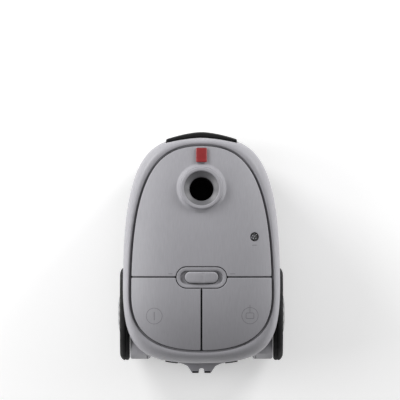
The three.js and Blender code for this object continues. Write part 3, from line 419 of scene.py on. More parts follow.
def panel(name, outer, holes, height, thick, edge, material, body, slot, stands_for=(), spacing=3.0,
          extra=None, sharp=40):
    """A plate that follows height(x, y), with rounded rims round its outline and its holes."""
    turns = np.linspace(0, pi / 2, 6)
    inner = [moved(outer, -edge)] + [moved(h, edge) for h in holes]
    coords, tris, first = filled(inner[0], inner[1:], spacing, extra)
    n_top = len(coords)
    top = np.column_stack([coords, height(coords[:, 0], coords[:, 1])])
    low = np.column_stack([coords, height(coords[:, 0], coords[:, 1]) - thick])
    verts = [top, low]
    faces = [tuple(t) for t in tris] + [tuple(n_top + k for k in t[::-1]) for t in tris]
    count = 2 * n_top
    start = 0
    for loop in [outer, *holes]:
        n = len(loop)
        hole = loop is not outer
        rings = []
        for t in turns[:-1][::-1]:
            d = edge * (1 - cos(t))
            at = moved(loop, d if hole else -d)
            z = height(at[:, 0], at[:, 1]) - edge * (1 - sin(t))
            rings.append(np.column_stack([at, z]))
        z = height(loop[:, 0], loop[:, 1]) - thick
        rings.append(np.column_stack([loop, z]))
        levels = [[first[start + i] for i in range(n)]]
        for r in rings:
            verts.append(r)
            levels.append(list(range(count, count + n)))
            count += n
        levels.append([n_top + first[start + i] for i in range(n)])
        for a, b in zip(levels, levels[1:]):
            for i in range(n):
                j = (i + 1) % n
                faces.append((a[i], a[j], b[j], b[i]))
        start += n
    made = add(name, np.vstack(verts), faces, material, None, slot, sharp=sharp)
    outward(made)
    shade(made, sharp)
    return finish_piece(made, body, slot, stands_for)


def ribbon(name, path, width, height, material, body, slot, closed=False):
    """A thin raised line that lies on the surface height(x, y)."""
    path = np.asarray(path, float)
    step = np.roll(path, -1, 0) - np.roll(path, 1, 0)
    if not closed:
        step[0], step[-1] = path[1] - path[0], path[-1] - path[-2]
    step /= np.linalg.norm(step, axis=1)[:, None]
    side = np.stack([-step[:, 1], step[:, 0]], 1) * width / 2
    rows = []
    for s, lift in ((1, -0.3), (1, 0.04), (-1, 0.04), (-1, -0.3)):
        at = path + s * side
        rows.append(np.column_stack([at, height(at[:, 0], at[:, 1]) + lift]))
    n = len(path)
    verts = np.vstack(rows)
    faces = []
    for i in range(n if closed else n - 1):
        j = (i + 1) % n
        for k in range(4):
            m = (k + 1) % 4
            faces.append((k * n + i, k * n + j, m * n + j, m * n + i))
    if not closed:
        faces += [tuple(k * n for k in range(4)), tuple(k * n + n - 1 for k in range(4))[::-1]]
    made = add(name, verts, faces, material, None, slot)
    outward(made)
    return finish_piece(made, body, slot)


# ---------------------------------------------------------------- materials
class Nodes:
    """A material under construction."""

    def __init__(self, name, color, roughness, **sockets):
        self.material = bpy.data.materials.new(name)
        self.material.use_nodes = True
        self.tree = self.material.node_tree
        self.shader = self.tree.nodes["Principled BSDF"]
        self.color = color
        self.set(self.shader, "Base Color", (*color, 1))
        self.set(self.shader, "Roughness", roughness)
        for key, value in sockets.items():
            self.set(self.shader, key.replace("_", " "), value)
        self.place = self.node("ShaderNodeTexCoord").outputs["Object"]

    def node(self, kind, **inputs):
        made = self.tree.nodes.new(kind)
        for key, value in inputs.items():
            self.set(made, key, value)
        return made

    def set(self, node, key, value):
        socket = node.inputs[key]
        if isinstance(value, bpy.types.NodeSocket):
            self.tree.links.new(value, socket)
        else:
            socket.default_value = value

    def noise(self, scale, detail=2.0, stretch=None):
        place = self.place
        if stretch:
            place = self.node("ShaderNodeMapping", Vector=place, Scale=stretch).outputs[0]
        made = self.node("ShaderNodeTexNoise", Vector=place, Scale=scale, Detail=detail)
        return made.outputs["Fac"]

    def ramp(self, value, low, high, to_low, to_high):
        made = self.node("ShaderNodeMapRange")
        self.set(made, "Value", value)
        for key, v in (("From Min", low), ("From Max", high), ("To Min", to_low), ("To Max", to_high)):
            self.set(made, key, v)
        return made.outputs["Result"]

    def vary_color(self, value, amount):
        """The colour moves up and down by the share amount as value goes through its middle."""
        mix = self.node("ShaderNodeMix")
        mix.data_type = "RGBA"
        dark = [c * (1 - amount) for c in self.color]
        light = [min(1, c * (1 + amount)) for c in self.color]
        self.set(mix, "Factor", value)
        mix.inputs[6].default_value = (*dark, 1)
        mix.inputs[7].default_value = (*light, 1)
        self.tree.links.new(mix.outputs[2], self.shader.inputs["Base Color"])

    def vary_roughness(self, value, low, high):
        self.set(self.shader, "Roughness", self.ramp(value, 0.3, 0.7, low, high))

    def bump(self, value, strength, distance):
        made = self.node("ShaderNodeBump", Height=value, Strength=strength, Distance=distance)
        old = self.shader.inputs["Normal"]
        if old.is_linked:
            self.set(made, "Normal", old.links[0].from_socket)
        self.tree.links.new(made.outputs[0], old)


def shell_material(name, color, roughness=0.46, coat=0.06):
    """Satin moulded plastic: a fine grain drawn along the machine, rubbed patches, soft waviness."""
    m = Nodes(name, color, roughness, Coat_Weight=coat, Coat_Roughness=0.3)
    m.vary_color(m.ramp(m.noise(900, 2, (1, 0.06, 0.3)), 0.3, 0.7, 0.0, 1.0), 0.045)
    m.vary_roughness(m.noise(38, 4), roughness - 0.04, roughness + 0.06)
    m.bump(m.noise(3200, 1), 0.06, 0.00005)
    m.bump(m.noise(9, 3), 0.04, 0.0006)
    return m.material


def textured_plastic(name, color):
    """Black plastic with a spark-eroded texture and dusty variation."""
    roughness = 0.55
    m = Nodes(name, color, roughness, Specular_IOR_Level=0.3)
    grain = m.node("ShaderNodeTexVoronoi", Vector=m.place, Scale=1500.0).outputs["Distance"]
    m.vary_color(m.noise(45, 4), 0.22)
    m.vary_roughness(m.noise(60, 3), roughness - 0.07, roughness + 0.09)
    m.bump(grain, 0.25, 0.0001)
    return m.material


def rubber(name, color=(0.012, 0.012, 0.0125)):
    m = Nodes(name, color, 0.72, Specular_IOR_Level=0.2)
    m.vary_color(m.noise(70, 5), 0.3)
    m.vary_roughness(m.noise(120, 4), 0.62, 0.82)
    m.bump(m.noise(1400, 3), 0.3, 0.00012)
    return m.material


def metal(name):
    """Bare steel with fine lines drawn along one axis."""
    roughness = 0.3
    m = Nodes(name, (0.56, 0.56, 0.57), roughness, Metallic=1.0)
    lines = m.noise(420, 3, (1, 1, 40))
    m.vary_color(lines, 0.12)
    m.vary_roughness(lines, roughness - 0.08, roughness + 0.14)
    m.bump(lines, 0.12, 0.00006)
    return m.material


def gloss_plastic(name, color, roughness=0.16):
    m = Nodes(name, color, roughness, Coat_Weight=0.3, Coat_Roughness=0.1)
    m.vary_color(m.noise(90, 4), 0.08)
    m.vary_roughness(m.noise(55, 5), roughness - 0.03, roughness + 0.09)
    m.bump(m.noise(700, 2), 0.03, 0.00006)
    return m.material


def fleece(name, color, fibre=900.0):
    """Non-woven cloth: short fibres that cross, in a soft sheen."""
    m = Nodes(name, color, 0.92, Sheen_Weight=0.3, Sheen_Roughness=0.5)
    one = m.noise(fibre, 4, (1, 9, 1))
    two = m.noise(fibre, 4, (9, 1, 1))
    both = m.node("ShaderNodeMath")
    both.operation = "MAXIMUM"
    m.set(both, 0, one)
    m.set(both, 1, two)
    m.vary_color(both.outputs[0], 0.16)
    m.bump(both.outputs[0], 0.5, 0.0002)
    m.bump(m.noise(60, 3), 0.2, 0.001)
    return m.material


def card_material(name):
    m = Nodes(name, (0.4, 0.25, 0.13), 0.85)
    m.vary_color(m.noise(300, 6, (1, 5, 1)), 0.25)
    m.bump(m.noise(900, 4), 0.3, 0.0001)
    return m.material


def board_material(name):
    m = Nodes(name, (0.012, 0.11, 0.04), 0.3, Coat_Weight=0.6)
    m.vary_color(m.ramp(m.noise(240, 1), 0.45, 0.55, 0.0, 1.0), 0.25)
    m.bump(m.noise(240, 1), 0.2, 0.00005)
    return m.material


def lens_material(name):
    m = Nodes(name, (0.7, 0.7, 0.72), 0.06, Transmission_Weight=0.9, IOR=1.2)
    m.vary_roughness(m.noise(80, 3), 0.04, 0.1)
    return m.material


GREY = (0.36, 0.355, 0.38)
shell = shell_material("grey shell", GREY)
# painted shade: a darker copy of the grey shell, for the walls of the inlet's cone, which sit in shade, and
# for the rib under the lid
shell_painted_shade = shell_material("grey shell painted shade", (0.155, 0.154, 0.163), 0.4)
# painted shade and print: this darker grey stands for the shade in the engraved pedal icons, and is the
# print of the lid marks
print_and_groove_shade = shell_material("print and painted groove shade", (0.19, 0.188, 0.2), 0.5, 0.0)
black = textured_plastic("black plastic", (0.008, 0.008, 0.0085))
groove_black = textured_plastic("frame plastic", (0.06, 0.06, 0.065))
black_soft = rubber("black rubber")
tread = rubber("tyre rubber", (0.008, 0.008, 0.0085))
flap_rubber = rubber("flap rubber", (0.002, 0.002, 0.002))
hub_gloss = gloss_plastic("hub gloss", (0.02, 0.02, 0.022))
hub_satin = shell_material("hub satin", (0.28, 0.277, 0.295), 0.3)
red = gloss_plastic("red plastic", (0.25, 0.016, 0.018), 0.36)
steel = metal("steel")
white = gloss_plastic("natural plastic", (0.62, 0.62, 0.58), 0.4)
bag_cloth = fleece("bag fleece", (0.74, 0.71, 0.63))
filter_cloth = fleece("filter fleece", (0.8, 0.8, 0.78), 1400.0)
card = card_material("pressed card")
board = board_material("board")
lens = lens_material("smoked lens")

# what pieces share: material, body and slot
FIXED_BLACK = (black, "chassis", "black_plastic")
FIXED_RUBBER = (black_soft, "chassis", "black_rubber")
FIXED_GREY = (shell, "chassis", "grey_shell")
LID_GREY = (shell, "lid_body", "grey_shell")


# ---------------------------------------------------------------- lines that pieces share
GROOVE_LINE = egg(GROOVE)
BODY_LINE = egg(BODY)
BAY_LINE = egg(BAY)
RIM_LINE = moved(GROOVE_LINE, GROOVE_HALF)
INSET_LINE = moved(GROOVE_LINE, -GROOVE_HALF)
BEZEL_GAP = 1.4
CROSS_SEAM, LONG_SEAM = 1.1, 1.7


def shoulder(a, inset=0.0):
    """A loop on the outer shoulder, from the rim (0) to the widest line (pi / 2)."""
    across, up = sin(a), max(0.0, cos(a)) ** 0.4
    at = RIM_LINE + (BODY_LINE - RIM_LINE) * across
    low = widest_at(BODY_LINE[:, 1])
    z = low + (top_at(*RIM_LINE.T) - low) * up
    z += 0.9 * sin(pi * min(1, across / 0.7)) * (1 if inset == 0 else 0)
    return np.column_stack([moved(at, -inset), z - inset])


def under_shoulder(share, drop):
    at = RIM_LINE + (BODY_LINE - RIM_LINE) * share
    return np.column_stack([at, top_at(*RIM_LINE.T) - drop])


def body_level(d, z):
    return level(moved(BODY_LINE, d), z)


def mirrored(points):
    """The outline on the other side of the centre plane, still clockwise."""
    return (points * (-1, 1))[::-1]


def joined(pieces):
    grown = bmesh.new()
    for piece in pieces:
        grown.from_mesh(piece.data)
    grown.to_mesh(pieces[0].data)
    grown.free()
    for piece in pieces[1:]:
        bpy.data.objects.remove(piece)
    return pieces[0]


def rounded_box(x0, x1, y0, y1, radius, step=1.0):
    """A clockwise rectangle with round corners."""
    corners = [(x1, y1), (x1, y0), (x0, y0), (x0, y1)]
    outline = filleted(corners, radius, 8)
    return resampled(outline, step)


XZ = ((1, 0, 0), (0, 0, 1), (0, 1, 0))  # a plan drawn in X and Y, stood up: Y becomes Z, Z becomes Y


# ---------------------------------------------------------------- housings
def wheel_cutter(side):
    return cutting_rod((side * WELL_X, WHEEL_Y, WHEEL_R), (side * 170, WHEEL_Y, WHEEL_R), WELL_R, 128)


def rear_window():
    return cutting_block((-88.3, -240, 43.7), (88.3, -150, 126.3))


def upper_shell():
    edge = 1.2
    ledge = [(0, -10), (0, -6.9), (-2.8, -6.1), (-2.9, -5.2), (-2.6, -4.8), (-0.3, -4.5), (0, -4.1)]
    loops = [np.column_stack([moved(RIM_LINE, d), top_at(*RIM_LINE.T) + h]) for d, h in ledge]
    for t in np.linspace(0, pi / 2, 6):
        line = moved(RIM_LINE, edge * (1 - cos(t)))
        loops.append(np.column_stack([line, top_at(*RIM_LINE.T) - edge * (1 - sin(t))]))
    loops += [shoulder(radians(a)) for a in (9, 13, 17, 22, 27, 32, 37, 42, 47, 52, 57, 62, 66, 70, 74,
                                             77, 80, 82.5, 85, 87, 88.5, 89.5, 90)]
    loops += [body_level(-4 * t**1.4, widest_at(BODY_LINE[:, 1]) * (1 - t) + t * 74.15)
              for t in (0.1, 0.25, 0.45, 0.7, 0.96, 1)]
    loops.append(body_level(-4.4, 73.8))
    loops += [body_level(-6.6, 74.15), body_level(-WALL, widest_at(BODY_LINE[:, 1]))]
    loops += [under_shoulder(0.7, 26), under_shoulder(0.48, 8.5)]
    lip = moved(GROOVE_LINE, GROOVE_HALF + WALL)
    loops += [np.column_stack([lip, top_at(*RIM_LINE.T) - h]) for h in (3.6, 10)]
    made = loft("upper_shell", loops, shell, None, "grey_shell", sharp=35)
    pocket = prism("cutter", rounded_box(-51.5, 51.5, 102.5, 149.5, 12), 160, 240, black, None, "",
                   matrix=XZ)
    carved(made, [joined([wheel_cutter(1), wheel_cutter(-1), rear_window(), pocket])], sharp=35)
    carved(made, [handle_niche()], sharp=35)
    return finish_piece(made, "chassis", "grey_shell", ["upper_housing"])


def base_shell():
    side = filleted([(-4, 73.85), (-7, 44), (-11, 27), (-17, 19), (-25, 16)], 9, 5, closed=False)
    outer = [body_level(d, z) for d, z in side]
    inner = [body_level(d, z) for d, z in ((-6.6, 73.85), (-9.6, 44), (-13.6, 27), (-19.6, 21.6),
                                           (-27.6, 18.6))]
    made = loft("base_shell", [*outer[::-1], *inner], black, None, "black_plastic", closed=False)
    pocket = cutting_rod((0, CASTER_Y, -1), (0, CASTER_Y, 52), 43, 96)
    corners = [cutting_block((min(s * 84.7, s * 122.7), -183.3, 29.7),
                             (max(s * 84.7, s * 122.7), -127.7, 120.3)) for s in (1, -1)]
    carved(made, [joined([wheel_cutter(1), wheel_cutter(-1), pocket]), rear_window(), joined(corners)])
    return finish_piece(made, "chassis", "black_plastic", ["base_housing"])


def wheel_wells():
    section = [(0, 119.8), (87.4, 119.8), (87.4, 136), (85, 136), (85, 122.4), (0, 122.4)]
    wells = []
    for side in (1, -1):
        profile = [(r, side * h) for r, h in filleted(section, 1.2, 3, closed=False)]
        wells.append(lathe("wheel_wells", profile, (0, WHEEL_Y, WHEEL_R), (1, 0, 0), black, None, "",
                           steps=96))
    made = joined(wells)
    inside = [body_level(d, z) for d, z in ((-27, 17), (-13, 27.5), (-9, 44), (-5, 74))]
    inside += [body_level(-1, widest_at(BODY_LINE[:, 1]))]
    inside += [shoulder(radians(a), 1.0) for a in (80, 66, 52, 38, 24, 0)]
    plug = loft("plug", inside, black, None, "", closed=False)
    carved(made, [plug], "INTERSECT")
    return finish_piece(made, "chassis", "black_plastic")


def caster_pocket():
    section = [(0, 54.6), (45.6, 54.6), (45.6, 16.4), (43, 16.4), (43, 52), (0, 52)]
    lathe("caster_pocket", filleted(section, 1, 3, closed=False), (0, CASTER_Y, 0), (0, 0, 1),
          *FIXED_BLACK, steps=96)


def inner_supports():
    """The posts and cradles inside the base that hold the reel, the motor and the axles."""
    for x in (12, 86):
        block("reel_post", (x - 2, -106, 17), (x + 2, -90, 93.5), *FIXED_BLACK)
    for y, top in ((-70, 46), (-122, 58)):
        block("motor_cradle", (-74, y - 2, 17), (-30, y + 2, top), *FIXED_BLACK)
    for s in (1, -1):
        ends = [(s * x, WHEEL_Y, WHEEL_R) for x in (100, 121)]
        rod("axle_boss", *ends, 12.8, *FIXED_BLACK, edge=1)


def underside():
    """Ribs, screws and a grille of moulded lines under the base."""
    for s in (1, -1):
        block("skid", (s * 66 - 4, -70, 14.8), (s * 66 + 4, 60, 17), *FIXED_BLACK, edge=0.9)
        for y in (-88, 78):
            screw((s * 66, y, 16.2))
    for k in range(7):
        block("rib", (-46, -60 + k * 12, 15.3), (46, -58 + k * 12, 17), *FIXED_BLACK, edge=0.5)


def screw(at):
    """A pan head with a cross recess, in a raised seat, facing down."""
    seat = filleted([(4.2, 0), (7.4, 0), (7.4, 1.8), (4.2, 1.8)], 0.6)
    lathe("screw_seat", seat, at, (0, 0, -1), *FIXED_BLACK, steps=40)
    head = filleted([(0, -0.6), (3.8, -0.6), (3.8, 0.5), (2.4, 1.1), (0, 1.2)], 0.4, closed=False)
    made = lathe("screw_head", head, at, (0, 0, -1), steel, None, "", steps=40)
    x, y, z = at
    bars = [cutting_block((x - a, y - b, z - 3), (x + a, y + b, z - 0.6))
            for a, b in ((2.2, 0.4), (0.4, 2.2))]
    carved(made, bars)
    finish_piece(made, "chassis", "steel")


# ---------------------------------------------------------------- rear corners and cover
def corner_height(x, y):
    """Flat fender tops behind the wheels that run up into the body and roll off to the rear."""
    points = np.column_stack([np.ravel(x), np.ravel(y)])
    away = np.sqrt(np.min(np.sum((points[:, None] - BODY_LINE[None]) ** 2, 2), 1))
    away[sides_of(points, BODY_LINE)] = 0
    rise = 18 * smooth(1 - away / 26)
    roll = np.clip((-176 - points[:, 1]) / 9.6, 0, 1)
    return 119.5 + rise * (1 - roll) - 11 * (1 - np.sqrt(1 - roll**2 * 0.98))


def rear_corner(side):
    """A fender behind a wheel, with a slot in its rear edge. The right one lets the cord out."""
    word = "right" if side > 0 else "left"
    corners = [(124, -128.5), (124, -185.6), (88.8, -185.6), (88.8, -128.5)]
    outline = resampled(filleted(corners, 5, 10), 0.8)
    if side < 0:
        outline = mirrored(outline)
    made = panel("rear_corner_" + word, outline, [], corner_height, 86, 2.0, shell, None,
                 "grey_shell", spacing=2.2)
    cutters = [cutting_block((side * 94.5 - 0.6, -190, 112), (side * 94.5 + 0.6, -179.8, 140))]
    if side > 0:
        cutters.append(cutting_rod((106, -200, 72), (106, -172, 72), 8.2, 48))
    carved(made, cutters)
    return finish_piece(made, "chassis", "grey_shell", ["rear_corner_" + word])


REAR_LINE = BODY_LINE[(BODY_LINE[:, 1] < -120)]
REAR_LINE = REAR_LINE[np.argsort(REAR_LINE[:, 0])]


def rear_wall(points):
    """Points (across, height, outwards) laid on the rear wall of the body."""
    across, height, out = points.T
    y = np.interp(across, *REAR_LINE.T)
    slope = (np.interp(across + 1, *REAR_LINE.T) - np.interp(across - 1, *REAR_LINE.T)) / 2
    long = np.hypot(slope, 1)
    out = out - 4 * np.clip((130 - height) / 96, 0, 1)
    return np.column_stack([across + out * slope / long, y - out / long, height])


def on_rear_wall(piece):
    coords = np.array([v.co for v in piece.data.vertices]) / MM
    piece.data.vertices.foreach_set("co", (rear_wall(coords) * MM).ravel())
    piece.data.update()
    outward(piece)
    shade(piece, 40)
    return piece


def flat(x, y):
    return np.zeros(np.shape(x))


def exhaust_cover():
    slots = []
    for row in range(4):
        for s in (1, -1):
            low = 84 + row * 9
            slots.append(rounded_box(min(s * 46, s * 80), max(s * 46, s * 80), low, low + 4.5, 2.1))
    plate = panel("exhaust_cover", rounded_box(-87.6, 87.6, 44.4, 125.6, 5), slots, flat, WALL, 0.8,
                  shell, None, "", spacing=3)
    on_rear_wall(plate)
    finish_piece(plate, "cover", "grey_shell", ["exhaust_cover"])
    parking_bracket()
    for s, word in ((1, "right"), (-1, "left")):
        line = rounded_box(min(s * 40.8, s * 62.8), max(s * 40.8, s * 62.8), 66.2, 77.8, 2.4)
        pad = panel("rear_pad_" + word, line, [], lambda x, y: np.full(np.shape(x), 5.2), 5.0, 0.9,
                    black_soft, None, "", spacing=2.5)
        on_rear_wall(pad)
        finish_piece(pad, "cover", "black_rubber", ["rear_pad_" + word])


def parking_bracket():
    """The notched hook at the back, flared where it leaves the cover, with two rubber feet."""
    half = [(-43, -191.5), (-33, -194), (-24.5, -198), (-20, -204.3), (-16.6, -209.9), (-5.6, -209.9),
            (-4.3, -208), (-4.0, -203.2), (-2.4, -202.2), (0, -202)]
    left = np.array(half)
    outline = np.vstack([left, (left[:-1] * (-1, 1))[::-1], [(43, -187), (-43, -187)]])
    outline = resampled(filleted(outline[::-1], 1.6, 4), 0.6)
    prism("bracket", outline[::-1] if turns_left(outline) else outline, 62, 102, shell, "cover",
          "grey_shell", edge=1.0)
    for s in (1, -1):
        foot = rounded_box(min(s * 5, s * 16), max(s * 5, s * 16), -210.2, -207, 1.2, 0.5)
        prism("bracket_foot", foot, 61.7, 102.3, black_soft, "cover", "black_rubber", edge=0.5)


def turns_left(points):
    """True if the closed outline runs counter-clockwise."""
    x, y = points.T
    return np.sum(x * np.roll(y, -1) - np.roll(x, -1) * y) > 0


def cord_gland():
    section = [(4.2, -182.2), (5.4, -183), (7.9, -183), (7.9, -177), (4.2, -177)]
    lathe("cord_gland", filleted(section, 0.8), (106, 0, 72), (0, 1, 0),
          *FIXED_RUBBER, ["cord_gland"], steps=48)
    rod("gland_depth", (106, -179, 72), (106, -177.5, 72), 4.3, *FIXED_BLACK)


# ---------------------------------------------------------------- handle
def bow(x, middle, drop):
    """The line of the handle seen from above."""
    return middle - drop * (np.abs(x) / 61) ** 1.6


def bow_inner(x):
    return bow(x, 199.4, 8.6)


def handle_niche():
    """What the housing leaves free for the handle, in front of its seat."""
    xs = np.linspace(-62.4, 62.4, 60)
    outline = np.vstack([np.column_stack([xs, bow_inner(xs)]), [(62.4, 240), (-62.4, 240)]])
    return prism("cutter", outline[::-1], 116, 228, black, None, "")


def carry_handle():
    bar, seat = [], []
    for x in np.linspace(-61.8, 61.8, 73):
        out, back = bow(x, 210, 12.4), bow_inner(x) + 0.5
        squeeze = 1 - 0.35 * max(0, (abs(x) - 60.2) / 1.6) ** 2
        loop = []
        for a in np.linspace(0, 2 * pi, 41)[:-1]:
            c = np.sign(cos(a)) * abs(cos(a)) ** 0.6 * squeeze
            h = np.sign(sin(a)) * abs(sin(a)) ** 0.6 * squeeze
            loop.append((x, (out + back) / 2 + (out - back) / 2 * c, 139 + 14.8 * h))
        bar.append(loop)
        y = bow_inner(x)
        seat.append([(x, y - 0.2, 150), (x, y - 3.4, 154), (x, y - 3.4, 112), (x, y - 0.2, 116)])
    loft("carry_handle", bar, *FIXED_BLACK, ["carry_handle"], closed=False)
    for part in (seat[:12], seat[-12:]):
        loft("handle_seat", part, *FIXED_BLACK, closed=False)
    high = [[(x, y - 0.2, z + 12), (x, y - 3, z + 12), (x, y - 3, 149.8), (x, y - 0.2, 149.8)]
            for x, y, z in ((x, bow_inner(x), 150) for x in np.linspace(-61.8, 61.8, 40))]
    loft("handle_backing", high, *FIXED_BLACK, closed=False)


def handle_recess():
    """The pocket for the fingers: a box with round corners, open to the front."""
    section = [(1.4, 0), (-1.2, 0), (-1.2, 20), (-3, 23), (-10, 24)]
    rows = []
    for d, depth in section:
        corners = [(50 + d, 148 + d), (50 + d, 104 - d), (-50 - d, 104 - d), (-50 - d, 148 + d)]
        line = filleted(corners, max(10 + d, 2), 12)
        back = bow_inner(line[:, 0]) - 2.8 if depth == 0 else np.full(len(line), 198 - depth)
        rows.append(np.column_stack([line[:, 0], back, line[:, 1]]))
    loft("handle_recess", rows, *FIXED_BLACK, ["handle_recess"], closed=False)


# ---------------------------------------------------------------- lid
def bezel_curve(first, last, count=60):
    """Points round the gap of the bezel from one angle to another: 90 degrees is the front."""
    points = []
    for a in np.linspace(first, last, count):
        side = 1 if cos(radians(a)) > 0 else -1
        if abs(cos(radians(a))) < 1e-6:
            side = 0
        r = BEZEL_WIDE + BEZEL_GAP
        x = side * (BEZEL_LONG - BEZEL_WIDE) + r * cos(radians(a))
        points.append((x, BEZEL_Y + r * sin(radians(a))))
    return np.array(points)


def lid_outline():
    seam = SEAM_Y + CROSS_SEAM
    front = INSET_LINE[INSET_LINE[:, 1] > seam]
    centre = np.argmax(front[:, 1])
    front = np.roll(front, -centre, 0)
    right, left = front[front[:, 0] >= 0], front[front[:, 0] < 0]
    edge_x = np.interp(-seam, -right[:, 1], right[:, 0])
    meet = degrees(asin((seam - BEZEL_Y) / (BEZEL_WIDE + BEZEL_GAP)))
    bite = bezel_curve(meet, 180 - meet)
    outline = np.vstack([right, [(edge_x, seam)], bite, [(-edge_x, seam)], left])
    corners = [(edge_x, seam), (-edge_x, seam), bite[0], bite[-1]]
    return resampled(softened(outline, corners, 2.4), 0.9)


def pedal_outline():
    """The rewind pedal's outline, on the right."""
    seam = SEAM_Y - CROSS_SEAM
    rear = INSET_LINE[(INSET_LINE[:, 1] < seam) & (INSET_LINE[:, 0] > LONG_SEAM)]
    edge_x = np.interp(seam, rear[::-1, 1], rear[::-1, 0])
    meet = degrees(asin((BEZEL_Y - seam) / (BEZEL_WIDE + BEZEL_GAP)))
    bite = bezel_curve(-90, -meet, 30)
    low = BEZEL_Y - BEZEL_WIDE - BEZEL_GAP
    inner = [(LONG_SEAM, INSET_LINE[:, 1].min()), (LONG_SEAM, low)]
    outline = np.vstack([[(edge_x, seam)], rear, inner, bite])
    corners = [(edge_x, seam), *inner, bite[-1]]
    return resampled(softened(outline, corners, 2.2), 0.9)


def round_grid(centre, reach, step):
    """Points on rings, for the dense part of a panel round a hole."""
    rings = []
    for r in np.arange(31.6, reach, step):
        count = int(2 * pi * r / 1.7)
        rings.append(ring(*centre, r, count))
    return np.vstack(rings)


def lens_axis(h):
    e = 0.5
    sx = (top_at(LENS_X + e, LENS_Y) - top_at(LENS_X - e, LENS_Y)) / (2 * e)
    sy = (top_at(LENS_X, LENS_Y + e) - top_at(LENS_X, LENS_Y - e)) / (2 * e)
    normal = Vector((-sx, -sy, 1)).normalized()
    at = Vector((LENS_X, LENS_Y, float(top_at(LENS_X, LENS_Y))))
    return at + normal * h, normal


def lid():
    mouth = INLET_AT + INLET_AXIS * INLET_CREST
    centre = (0, mouth.y)
    latch_slot = rounded_box(-7.2, 7.2, 169, 182, 1.5)
    lens_hole = (ring(0, 0, 7.8, 60) * (0.91, 1)) + (LENS_X, LENS_Y)
    holes = [ring(*centre, MOUTH_R + 0.35, 120), latch_slot, lens_hole]
    dense = (np.array(centre), 50, round_grid(centre, 49.5, 1.1))
    panel("lid", lid_outline(), holes, lid_at, WALL, 0.9, *LID_GREY, ["lid"],
          spacing=3.2, extra=dense)
    rib = [moved(BAY_LINE, -4), moved(BAY_LINE, -5.8)]
    sides = [np.column_stack([line, top_at(*line.T) - h]) for line, h in
             ((rib[0], 2.4), (rib[0], 7.6), (rib[0], 8), (rib[1], 8), (rib[1], 7.6), (rib[1], 2.4))]
    # painted shade: the rib under the lid is in the darker copy of the grey shell
    loft("lid_rib", sides, shell_painted_shade, "lid_body", "grey_shell")
    seal = [np.column_stack([moved(BAY_LINE, d), top_at(*moved(BAY_LINE, d).T) + h]) for d, h in
            filleted([(2.6, -3.6), (5.9, -3.6), (5.9, -7), (4.2, -10.1), (2.6, -7)], 0.8)]
    loft("lid_seal", seal, *FIXED_RUBBER, ["lid_seal"])


def inlet():
    """A raised lip round a conical mouth, and the tube that leads down to the bag."""
    r = MOUTH_R
    lip = [(r - 0.7, 3.0), (r + 6.2, 3.0), (r + 6.2, 8.4), (r + 4.8, 9.9), (r + 0.9, 9.9), (r - 0.3, 9)]
    lathe("inlet_lip", filleted(lip, 0.9, 5), INLET_AT, INLET_AXIS, *LID_GREY,
          steps=128)
    cone = [(BORE_R + 2.4, -6), (r - 0.2, -6), (r - 0.2, 5.4), (r - 0.7, 5.8), (BORE_R + 1.4, 0.4),
            (BORE_R, -1.2), (BORE_R, -3), (BORE_R + 2.4, -3)]
    # painted shade: the cone is in the darker copy of the grey shell, standing for the shade on its walls
    lathe("inlet_cone", filleted(cone, 0.8, 5), INLET_AT, INLET_AXIS, shell_painted_shade, "lid_body",
          "grey_shell", ["inlet_cone"], steps=128)
    tube = [(BORE_R, -3.2), (BORE_R, -46), (BORE_R + 2.3, -46), (BORE_R + 2.3, -3.2)]
    lathe("inlet_tube", filleted(tube, 0.5), INLET_AT, INLET_AXIS, black, "lid_body", "black_plastic",
          ["inlet_tube"], steps=96)


def latch():
    def height(x, y):
        crown = 0.9 * (1 - (np.asarray(x) / 9.8) ** 2)
        return top_at(0, y) + 4.6 + crown + 1.0 * smooth((164 - np.asarray(y)) / 6)

    outline = rounded_box(-9.8, 9.8, 157.2, 182.4, 2.6, 0.7)
    panel("lid_latch", outline, [], height, 2.9, 1.3, red, "latch", "red_plastic", ["lid_latch"],
          spacing=1.4)
    z = float(top_at(0, 176)) - 3.2
    block("latch_leg", (-6.6, 173.4, z - 12), (6.6, 178.6, z + 5), red, "latch", "red_plastic")
    block("latch_hook", (-6.6, 173.4, z - 12), (6.6, 180, z - 9.6), red, "latch", "red_plastic", edge=0.5)


def indicator():
    base, normal = lens_axis(0)
    cup = [(0, -9), (7.6, -9), (7.6, 0.1), (6.5, 0.1), (6.5, -7.6), (0, -7.6)]
    lathe("indicator_cup", filleted(cup, 0.5, closed=False), base, normal, black, "lid_body",
          "black_plastic", ["indicator_cup"], steps=64)
    dome = [(0, -2), (6.4, -2), (6.4, -0.9), (5.4, -0.5), (3, -0.25), (0, -0.2)]
    lathe("indicator_lens", filleted(dome, 0.3, closed=False), base, normal, lens, "lid_body", "lens",
          ["indicator_lens"], steps=64)


# ---------------------------------------------------------------- pedals, bezel, knob
def pedals():
    right = pedal_outline()
    for name, outline, body in (("rewind_pedal", right, "rewind_button"),
                                ("power_pedal", mirrored(right), "power_button")):
        panel(name, outline, [], top_at, 2.2, 0.9, shell, body, "grey_shell", [name], spacing=3.2)
        s = 1 if name == "rewind_pedal" else -1
        for x in (52, 94):
            low = float(top_at(x, -50))
            block(name + "_ear", (s * x - 2, -57, 199), (s * x + 2, -49, low - 2), black, body,
                  "black_plastic")
        rod(name + "_push", (s * 60, -140, 181), (s * 60, -140, float(top_at(60, -140)) - 2), 3.2, black,
            body, "black_plastic")


